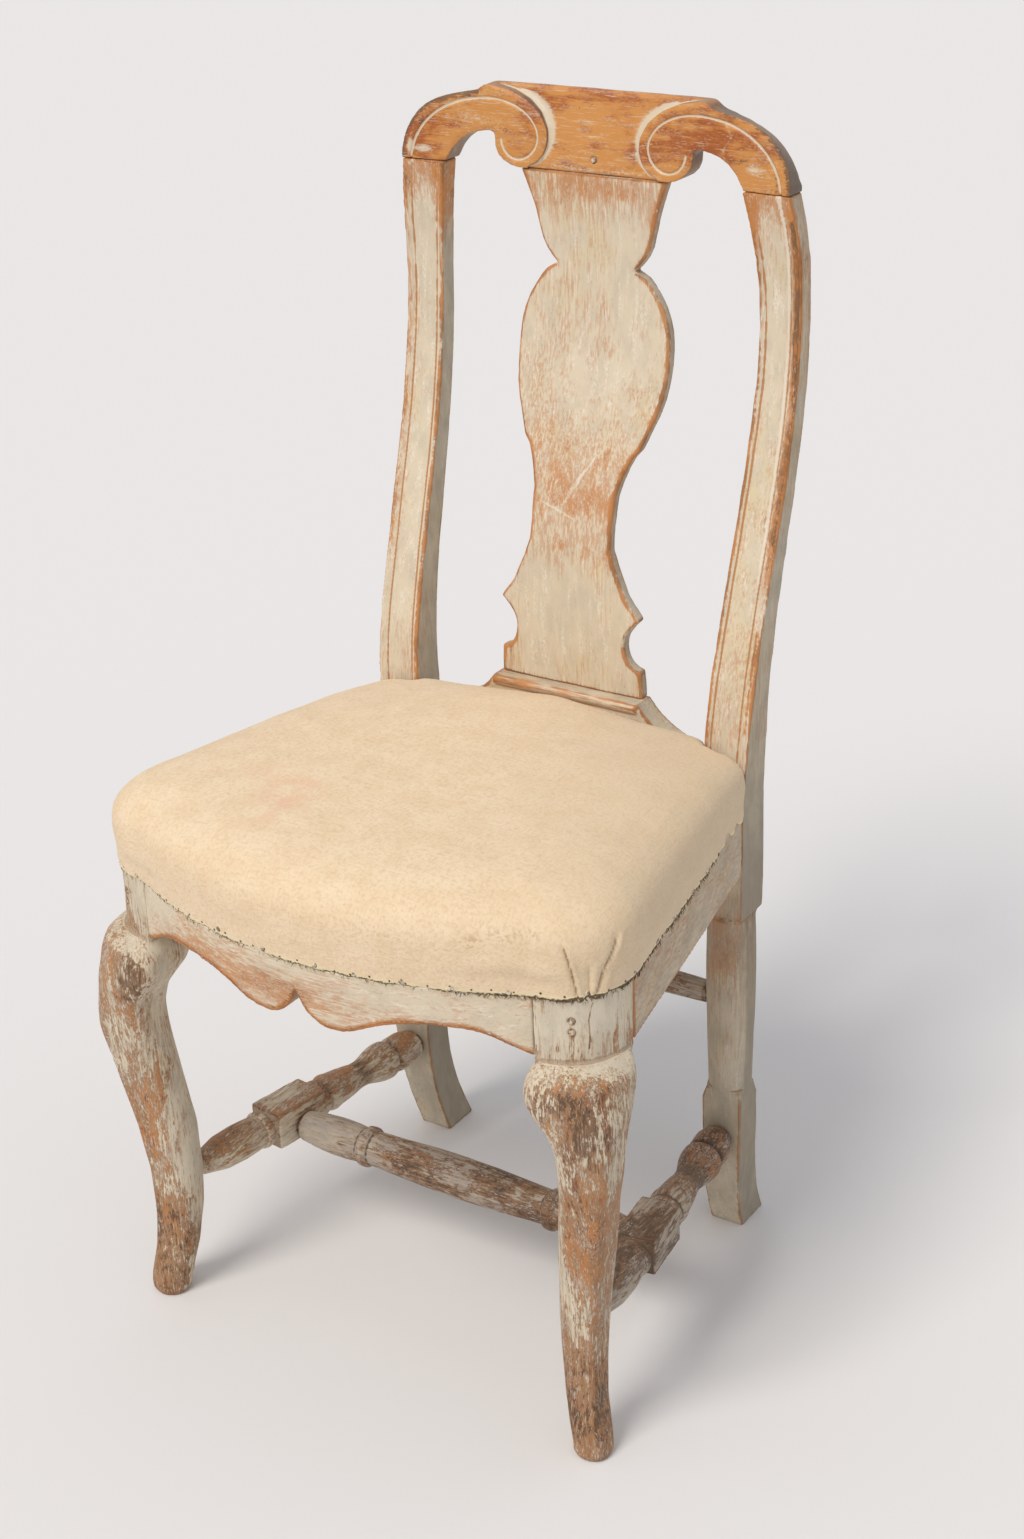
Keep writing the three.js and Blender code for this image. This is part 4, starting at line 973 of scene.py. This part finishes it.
# %% Stretchers
carved(
    "cross_stretcher",
    "boots",
    "x",
    1.0,
    passes=3,
    wear=(0.6, [(-160, 0, 110, 50, FAR, FAR, -0.35), (20, 0, 110, 90, FAR, FAR, 0.15)]),
    dirt=[(20, 0, 110, 90, FAR, FAR, 0.35)],
    sides=0.1,
)
carved("rear_stretcher", "boots", "x", 1.2, wear=(0.35,), sides=0.2)
for side, place, worn, finish in (("left", -1, 0.3, "scuffed"), ("right", 1, 0.5, "boots")):
    carved(
        f"side_stretcher_{side}",
        finish,
        "y",
        1.1,
        passes=9,
        turned=[
            (100, -3.0, 2.2),
            (84, 2.6, 15),
            (57, -0.6, 10),
            (14, 1.8, 5),
            (6, -2.0, 2.0),
            (-66, -1.6, 2.0),
        ],
        wear=(worn, [(place * 200, 110, 110, FAR, 60, FAR, 0.15)]),
        dirt=[(200, -60, 110, 60, 80, FAR, 0.5)],
        rubbed=(0, 0, 0.3),
        sides=0.15,
    )

# %% [markdown]
# ## The stuffed seat
# Calico is pulled over the stuffing and nailed to the outside of the rails. The cover's outer
# surface is taken from the CAD and skinned evenly. A cloth simulation then lets the stuffing
# press it outwards between the tacks. At the rear it is carried down to the hessian, so that no
# gap shows under it.

# %% The cover's outer surface
cover_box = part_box("seat_cover")
hem = cover_box[0].z + 0.4 * MM
pad_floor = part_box("hessian_sheet")[1].z + 1.2 * MM
pad_middle = Vector((0, (cover_box[0].y + cover_box[1].y) / 2, hem))
rear_line = cover_box[1].y - 12 * MM


def outward(face):
    """1 if a face looks straight away from the pad's middle, and below 0 if it looks inwards."""
    return face.normal.dot((face.calc_center_median() - pad_middle).normalized())


shape = solid_of("seat_cover")
bmesh.ops.recalc_face_normals(shape, faces=shape.faces)
inner = [face for face in shape.faces if outward(face) < 0.03]
print(len(inner), "inner faces of", len(shape.faces))
bmesh.ops.delete(shape, geom=inner, context="FACES")
rear = [e for e in shape.edges if e.is_boundary and all(v.co.y > rear_line for v in e.verts)]
for corner in bmesh.ops.extrude_edge_only(shape, edges=rear)["geom"]:
    if isinstance(corner, bmesh.types.BMVert):
        corner.co.z = min(corner.co.z, pad_floor)
print(len(rear), "edges behind carried down to", round(pad_floor / MM, 1), "mm")
bmesh.ops.holes_fill(shape, edges=shape.edges, sides=0)
bmesh.ops.triangulate(shape, faces=[f for f in shape.faces if len(f.verts) > 4])
pad = skinned("calico_cover", shape, 4.6)
pad_mesh = pad.data


# %% Cut it open below, so that it is a cloth
def settled(passes):
    """Relaxes the cloth, and lets no point sink below the hem. Returns points and edges."""
    edges = read(pad_mesh.edges, "vertices", 2)
    points = relaxed(read(pad_mesh.vertices, "co", 3), edges, passes)
    points[:, 2] = np.maximum(points[:, 2], hem)
    put(pad_mesh, points)
    return points, edges


shape = bmesh.new()
shape.from_mesh(pad_mesh)
everything = list(shape.verts) + list(shape.edges) + list(shape.faces)
bmesh.ops.bisect_plane(
    shape, geom=everything, plane_co=(0, 0, hem), plane_no=(0, 0, -1), clear_outer=True
)
shape.to_mesh(pad_mesh)
shape.free()
points, edges = settled(2)
print("cover cloth:", len(pad_mesh.polygons), "faces, hem at", round(hem / MM), "mm")

# %% [markdown]
# The stuffing's push is the cloth's pressure, with gravity off. The hem is pinned, as the tacks
# pin it. No point may move further than the cap, so the pad keeps the size it was measured at.

# %% Let the stuffing press
cap = 1.6 * MM
frames = 20
pins = pad.vertex_groups.new(name="nailed")
still = np.clip(1 - (points[:, 2] - hem - 7 * MM) / (9 * MM), 0, 1)
for index in np.nonzero(still > 0)[0]:
    pins.add([int(index)], float(still[index]), "REPLACE")
cloth = pad.modifiers.new("Press", "CLOTH")
cloth.settings.vertex_group_mass = "nailed"
cloth.settings.use_pressure = True
cloth.settings.uniform_pressure_force = 4
cloth.settings.effector_weights.gravity = 0
cloth.settings.tension_stiffness = 25
cloth.settings.compression_stiffness = 25
cloth.settings.bending_stiffness = 2
cloth.point_cache.frame_start = 1
cloth.point_cache.frame_end = frames
for number in range(1, frames + 1):
    bpy.context.scene.frame_set(number)
pressed = pad.evaluated_get(bpy.context.evaluated_depsgraph_get())
moved = read(bpy.data.meshes.new_from_object(pressed).vertices, "co", 3) - points
length = np.linalg.norm(moved, axis=1)
moved *= np.minimum(1, cap / np.maximum(length, 1e-9))[:, None]
print("cloth moved up to", round(length.max() / MM, 1), "mm, kept to", round(cap / MM, 1))
pad.modifiers.clear()
pad.vertex_groups.clear()
bpy.context.scene.frame_set(1)
put(pad_mesh, points + relaxed(moved, edges, 3))

# %% Finer faces for the creases
shape = bmesh.new()
shape.from_mesh(pad_mesh)
bmesh.ops.subdivide_edges(shape, edges=shape.edges, cuts=1, use_grid_fill=True, smooth=0.0)
shape.to_mesh(pad_mesh)
shape.free()
points, edges = settled(3)
print("cover cloth:", len(pad_mesh.polygons), "faces")

# %% [markdown]
# Where the cloth turns the front corners its spare width is gathered in a few pleats. Each is a
# narrow crease with a soft lip beside it, drawn along a line from the hem upwards, and the crease
# gets painted shade. Between the tacks the hem lifts a little off the wood, which leaves a dark
# line under it.

# %% Pleats and the lifted hem
PLEATS = [  # points from the top down to the hem in millimetres, depth, width
    (
        [(214.5, -193.5, 474), (216.1, -192.8, 468), (219.4, -190.6, 452.9), (222.3, -185, 425)],
        2.6,
        1.9,
    ),
    ([(243, -158, 478), (242, -161.8, 468), (238.1, -171.7, 450), (231, -176.5, 425)], 2.2, 2.6),
    ([(240, -160, 462), (237, -167, 448), (233, -173, 425)], 1.2, 2.6),
    ([(228, -180, 458), (228.5, -180, 440), (228, -180, 425)], 1.6, 3.4),
    ([(-217, -192, 468), (-221, -187, 450), (-224, -183, 425)], 1.2, 3.0),
    ([(-238, -170, 465), (-236, -173, 447), (-232, -176, 425)], 1.2, 3.5),
]
FULL_FOLD = 2.4  # a pleat of this depth in millimetres counts as a whole fold


def creased(points, normal):
    """How far each point is pushed out by the pleats, and how much painted shade its crease gets.
    """
    push, crease_shade = np.zeros(len(points)), np.zeros(len(points))
    for line, depth, width in PLEATS:
        distance, side, share = from_line(points, normal, line)
        scaled = distance / width
        fade = risen(share, 0, 0.2)
        groove = peak(scaled * 1.5, 1) * fade
        lip = 0.75 * peak(scaled - 1.5, 1) * (side > 0) * fade
        push += (lip - groove) * depth
        crease_shade += groove * depth / FULL_FOLD
    return push, crease_shade


def round_the_seat(points):
    """Each point's direction from the pad's middle, for noise that runs along the hem."""
    around = np.arctan2(points[:, 1] - pad_middle.y, points[:, 0])
    return np.stack((np.cos(around), np.sin(around), np.zeros(len(around))), 1)


def near_hem(points, reach):
    """1 at the hem, and 0 from reach millimetres above it."""
    return 1 - risen(points[:, 2], hem, reach * MM)


normal = read(pad_mesh.vertex_normals, "vector", 3)
push, crease_shade = creased(points, normal)
loop = round_the_seat(points)
close = near_hem(points, 9) ** 2
push += close * np.clip(cloudy(loop, 0.11, 3) * 1.7 - 0.45, 0, 1) * 1.8
push += (cloudy(points, 60 * MM, 5) - 0.5) * 1.6 + (cloudy(points, 19 * MM, 6) - 0.5) * 0.5
points = points + normal * push[:, None] * MM
points[:, 2] += close * (cloudy(loop, 0.05, 4) - 0.5) * 3.2 * MM
put(pad_mesh, points)
# painted shade in the creases of the pleats
keep(pad_mesh, "crease_shade", crease_shade)
print("pleats:", len(PLEATS))

# %% Close it underneath, over the hessian and behind the hem
TURNED_IN = 1.5 * MM  # how far the cloth is turned in under its hem
shape = bmesh.new()
shape.from_mesh(pad_mesh)
for depth, height in ((TURNED_IN, None), (0.0, pad_floor)):
    rim = [e for e in shape.edges if e.is_boundary]
    for corner in bmesh.ops.extrude_edge_only(shape, edges=rim)["geom"]:
        if isinstance(corner, bmesh.types.BMVert):
            way = pad_middle - corner.co
            way.z = 0
            corner.co += way.normalized() * depth
            if height is not None:
                corner.co.z = height
bmesh.ops.contextual_create(shape, geom=[e for e in shape.edges if e.is_boundary])
bmesh.ops.triangulate(shape, faces=[f for f in shape.faces if len(f.verts) > 4])
bmesh.ops.recalc_face_normals(shape, faces=shape.faces)
print("open edges:", sum(e.is_boundary for e in shape.edges))
shape.to_mesh(pad_mesh)
shape.free()

# %% [markdown]
# The weave has to run over the seat and down its sides without stretching. Each point therefore
# keeps its place as if the sides were folded out flat. Stains, smudges and the torn, yellowed
# hem are attributes too, because they belong to places on the cloth, and so is a painted shade
# that darkens the cloth towards the seat's right rear. The hem's dark lowest edge is partly a
# painted shadow of the gap under it.

# %% The weave's place, the hem and the stains
points = read(pad_mesh.vertices, "co", 3)
crown = 0.47  # metres: below this height the sides begin
sideways = points - np.array(pad_middle)
sideways[:, 2] = 0
sideways /= np.maximum(np.linalg.norm(sideways, axis=1), 1e-9)[:, None]
keep(pad_mesh, "cloth", points + sideways * np.clip(crown - points[:, 2], 0, 1)[:, None])
# this widens the hem's bands: the pale raw edge, and the dark lowest edge, partly painted shadow
torn_and_gap_shadow = 0.12 + 0.45 * risen(points[:, 0], 0.21, 0.02)  # most along the right side
torn_and_gap_shadow += 0.4 * (cloudy(round_the_seat(points), 0.09, 9) - 0.35)
close = near_hem(points, 8)
keep(pad_mesh, "hem", close + torn_and_gap_shadow * (close > 0.4))
stains = [  # a faint pinkish ring on the left of the seat
    (-73, -145, 507, 16, 42, 20, 0.6),
    (-100, -120, 507, 30, 20, 20, 0.3),
]
smudges = [  # grey, near the front edge
    (150, -216, 472, 10, 10, 6, 0.48),
    (172, -208, 478, 12, 10, 4, 0.48),
    (192, -202, 480, 10, 8, 5, 0.42),
    (60, -236, 470, 60, 8, 3, 0.18),
]
keep(pad_mesh, "stain", marked(points, 0, stains))
keep(pad_mesh, "smudge", marked(points, 0, smudges))
# painted shade: the cloth is darker towards the seat's right rear
keep(pad_mesh, "right_rear_shade", np.clip((points[:, 0] + points[:, 1] * 0.6) / 0.26 + 0.1, 0, 1))
smoothed(pad_mesh)
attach(pad, "root")
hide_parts("seat_cover", "seat_stuffing")
print("pad:", len(pad_mesh.polygons), "faces")

# %% [markdown]
# ## Threads and tacks
# The cover was cut with no hem, so threads hang out of its edge. Each is a thin cone from the
# cloth down over the rail. They are densest on the right side, where the cover is most torn, and
# there dark threads stand for torn threads and for painted shadow of the gap under the hem. Big
# pale tacks hold the hem about every 45 mm, with small rusty ones between them. Each head is a
# flattened ball. A ray from the side finds the place on the cloth where a thread or a tack sits.

# %% Places along the hem
pad_tree = BVHTree.FromObject(pad, bpy.context.evaluated_depsgraph_get())
random = np.random.default_rng(11)


def hem_place(angle, height):
    """A point on the cloth in that direction from the pad's middle, and the way it faces."""
    way = Vector((math.cos(angle), math.sin(angle), 0))
    start = Vector((0, pad_middle.y, height)) + way * 0.5
    return pad_tree.ray_cast(start, -way)[:2]


def distance_out(place):
    """How far a place on the hem is from the pad's middle."""
    return (place - Vector((0, pad_middle.y, place.z))).length


def along_way(way):
    """The turn that points a small thing's Z along a direction."""
    return way.to_track_quat("Z", "Y").to_matrix().to_4x4()


def hung(name, shape, material, count):
    """Makes one object of many small things that stay on the chair. Returns its mesh."""
    made = object_of(name, shape)
    made.data.materials.append(material)
    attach(made, "root")
    print(name, count)
    return made.data


# %% A material for small old things
def blotched(name, bright, dull, metallic, rough):
    """Small old things: one colour dulled by another in blotches a few millimetres wide."""
    made = bpy.data.materials.new(name)
    tree = emptied(made)
    links = {
        "Vector": add(tree, "TexCoord").outputs["Object"],
        "Scale": 1 / (3 * MM),
        "Detail": 4.0,
    }
    blotch = add(tree, "TexNoise", links).outputs[0]
    share = add(tree, "MapRange", {"Value": blotch, "From Min": 0.4, "From Max": 0.6}).outputs[0]
    links = {0: share, COLOUR_A: linear(bright), COLOUR_B: linear(dull)}
    colour = add(tree, "Mix", links, data_type="RGBA").outputs[COLOUR_OUT]
    links = {"Base Color": colour, "Metallic": metallic, "Roughness": rough}
    add(tree, "OutputMaterial", {"Surface": add(tree, "BsdfPrincipled", links).outputs[0]})
    return made


# %% Frayed threads
def frayed(name, material, steps, start, end, low, high):
    """Threads from the hem between two angles in degrees: their lengths in millimetres."""
    shape = bmesh.new()
    angle, count = math.radians(start), 0
    while angle < math.radians(end):
        place, facing = hem_place(angle, hem + random.uniform(0.8, 2.5) * MM)
        reach = 0.24  # metres, where the ray misses the cloth
        if place is not None:
            facing = Vector((facing.x, facing.y, 0)).normalized()
            along = facing.cross(Vector((0, 0, 1))) * random.uniform(-1.6, 1.6)
            way = Vector((0, 0, -1)) + along + facing * random.uniform(0, 0.4)
            length = random.uniform(low, high) * MM
            thread = bmesh.ops.create_cone(
                shape,
                cap_ends=True,
                segments=4,
                radius1=random.uniform(0.25, 0.5) * MM,
                radius2=0.12 * MM,
                depth=length,
            )["verts"]
            middle = Matrix.Translation(place + way.normalized() * length * 0.4)
            bmesh.ops.transform(shape, matrix=middle @ along_way(way), verts=thread)
            count += 1
            reach = distance_out(place)
        angle += steps * random.uniform(0.3, 1.9) * MM / reach
    hung(name, shape, material, count)


frayed_cotton = blotched("frayed_cotton", "#e0cf9f", "#57452f", 0.0, 0.95)
grimy_cotton_and_gap_shadow = blotched("grimy_cotton_and_gap_shadow", "#7d6544", "#2e2418", 0.0, 0.95)
frayed("threads_front", frayed_cotton, 2.4, -200, -45, 2, 5)
frayed("threads_right", frayed_cotton, 3.2, -45, 32, 3, 7)
# dark threads: torn cotton, and painted shadow of the gap under the hem
frayed("threads_torn", grimy_cotton_and_gap_shadow, 1.3, -52, 32, 2.5, 5)


# %% Tacks along the hem
FLATTENED = 0.4  # a head's height over its width


def tacks(name, material, steps, head, above):
    """Flattened heads, one every step along the hem, some millimetres above it."""
    shape = bmesh.new()
    angle, count = math.radians(-212), 0
    while angle < math.radians(32):
        place, facing = hem_place(angle, hem + (above + random.uniform(-1.2, 1.6)) * MM)
        if place is not None and facing.z > -0.6:
            size = head * random.uniform(0.85, 1.15) * MM
            dome = bmesh.ops.create_icosphere(shape, subdivisions=2, radius=size / 2)["verts"]
            for corner in dome:
                corner.co.z *= FLATTENED
            turn = Matrix.Translation(place) @ along_way(facing)
            bmesh.ops.transform(shape, matrix=turn, verts=dome)
            count += 1
            angle += steps * random.uniform(0.8, 1.2) * MM / distance_out(place)
        else:
            angle += 0.02
    smoothed(hung(name, shape, material, count))


tinned = blotched("tinned_tack", "#e6dcc4", "#7d6c54", 0.15, 0.5)
rusty = blotched("rusty_tack", "#7a4a2a", "#4a3324", 0.2, 0.8)
tacks("tacks_pale", tinned, 42, 4.4, 5.5)
tacks("tacks_rusty", rusty, 15, 1.9, 5.0)


# %% [markdown]
# ## Calico and jute
# Calico is plain unbleached cotton: a dull cream with darker slubs both ways, matt, with a faint
# sheen at a glancing angle. Its threads are 0.5 mm apart, too fine to show, so the slubs are
# drawn 1.2 mm wide, over a crepe of 3 mm where the cloth has shrunk. The raw hem is yellower, and
# its lowest edge is dark: partly torn cloth, partly a painted shadow of the gap under the hem.
# The pleats get painted shade in their creases, and the seat gets painted shade towards its right
# rear. Jute webbing and hessian are coarse and brown.


# %% Woven materials
def woven(name, warm, cool, fleck, thread, depth, followed=None):
    """Cloth with slubs along both thread directions, at a thread spacing in millimetres."""
    made = bpy.data.materials.new(name)
    tree = emptied(made)
    if followed:
        place = add(tree, "Attribute", attribute_name=followed).outputs["Vector"]
    else:
        place = add(tree, "TexCoord").outputs["Object"]
    patterns = (  # size, squeeze along x, y and z, detail, roughness, shift, lean
        ("across", thread, (1, 0.14, 0.3), 2, 0.5, 0, 0),
        ("down", thread, (0.14, 1, 0.3), 2, 0.5, 2, 0),
        ("clouds", 26, (1, 1, 1), 4, 0.5, 5, 0),
        ("crepe", thread * 2.6, (1, 1, 1), 4, 0.5, 9, 0),
    )
    value = {}
    patterned(tree, value, place, patterns)
    layers = [
        (linear(cool), 0.7, ("clouds", 0.35, 0.65)),
        (linear(fleck), 0.28, ("crepe", 0.46, 0.66)),
        (linear(fleck), 0.3, ("across", 0.5, 0.75)),
        (linear(fleck), 0.3, ("down", 0.5, 0.75)),
    ]
    if followed:
        for kind in ("hem", "stain", "smudge", "crease_shade", "right_rear_shade"):
            value[kind] = add(tree, "Attribute", attribute_name=kind).outputs["Fac"]
        value["torn_and_gap_shadow"] = summed(tree, value, (("hem", 1.0, 0.0), ("crepe", 1.0, 0.5)))
        layers += [
            # painted shade towards the seat's right rear
            (linear("#d6bf9f"), 0.55, ("right_rear_shade", 0.0, 1.0)),
            (linear("#e8b99c"), value["stain"], ("clouds", 0.4, 0.6)),
            (linear("#b2987a"), value["smudge"], ("crepe", 0.46, 0.62)),
            # painted shade in the pleats' creases
            (linear("#a07f5a"), 0.75, ("crease_shade", 0.35, 1.0)),
            (linear("#f1dfb6"), 0.8, ("torn_and_gap_shadow", 0.2, 0.5)),
            # the hem's lowest edge: dark torn cloth, and painted shadow of the gap under the hem
            (linear("#4f3e2b"), 0.9, ("torn_and_gap_shadow", 0.8, 1.0)),
        ]
    relief = (("across", 1.0, 0.0), ("down", 1.0, 0.0), ("crepe", 0.9, 0.0))
    height = summed(tree, value, relief)
    bump = add(tree, "Bump", {"Strength": 1.0, "Distance": depth * MM, "Height": height})
    links = {
        "Base Color": laid(tree, value, linear(warm), layers),
        "Roughness": 0.9,
        "Specular IOR Level": 0.2,
        "Sheen Weight": 0.12,
        "Sheen Roughness": 0.5,
        "Normal": bump.outputs[0],
    }
    add(tree, "OutputMaterial", {"Surface": add(tree, "BsdfPrincipled", links).outputs[0]})
    return made


calico = woven("unbleached_calico", "#efd8b8", "#e9cfac", "#d2b088", 1.2, 0.4, "cloth")
jute = woven("jute_webbing", "#a98a5e", "#93754c", "#5e4a2e", 2.2, 0.8)
pad_mesh.materials.clear()
pad_mesh.materials.append(calico)
straps = [node for name, node in nodes.items() if name.startswith(("webbing", "hessian"))]
for node in straps:
    node.material_slots[0].material = jute
print("calico on the pad, jute on", len(straps), "CAD nodes")

# %% [markdown]
# ## The stage
# A plain pale floor that reaches past every view, one large soft lamp from the chair's front, a
# weak one from above, and an even grey world. The camera sees that world as pale as the floor, and
# so do reflections.

# %% Floor
shape = bmesh.new()
bmesh.ops.create_circle(shape, cap_ends=True, segments=64, radius=14)
floor = object_of("floor", shape)
paper = bpy.data.materials.new("paper_backdrop")
tree = emptied(paper)
links = {"Base Color": linear("#e8e6e6"), "Roughness": 0.95, "Specular IOR Level": 0.1}
add(tree, "OutputMaterial", {"Surface": add(tree, "BsdfPrincipled", links).outputs[0]})
floor.data.materials.append(paper)
print("floor", [round(side, 1) for side in floor.dimensions], "metres")


# %% Lamps and world
def lamp(name, towards, spread, power, tint):
    """A far, soft lamp in that direction: its spread in degrees softens the shadows."""
    data = bpy.data.lights.new(name, "SUN")
    data.angle = math.radians(spread)
    data.energy = power
    data.color = linear(tint)[:3]
    made = bpy.data.objects.new(name, data)
    made.rotation_euler = Vector(towards).to_track_quat("Z", "Y").to_euler()
    bpy.context.scene.collection.objects.link(made)


lamp("key", (-0.4, -2.2, 2.75), 24, 1.75, "#fffaf2")
lamp("overhead", (0.1, -0.2, 1), 120, 0.85, "#ffffff")
world = bpy.data.worlds.new("studio")
bpy.context.scene.world = world
tree = emptied(world)
sky = add(tree, "Background", {"Color": linear("#eef1f8"), "Strength": 0.37})
seen = add(tree, "Background", {"Color": linear("#e6e5e4"), "Strength": 1.0})
ray = add(tree, "LightPath").outputs
looking = ray["Is Camera Ray"]
for kind in ("Is Glossy Ray", "Is Transmission Ray"):
    looking = add(tree, "Math", {0: looking, 1: ray[kind]}, operation="MAXIMUM").outputs[0]
both_skies = add(tree, "MixShader", {0: looking, 1: sky.outputs[0], 2: seen.outputs[0]})
add(tree, "OutputWorld", {"Surface": both_skies.outputs[0]})
bpy.context.scene.view_settings.view_transform = "Standard"
print("lamps:", ", ".join(lamp_data.name for lamp_data in bpy.data.lights))
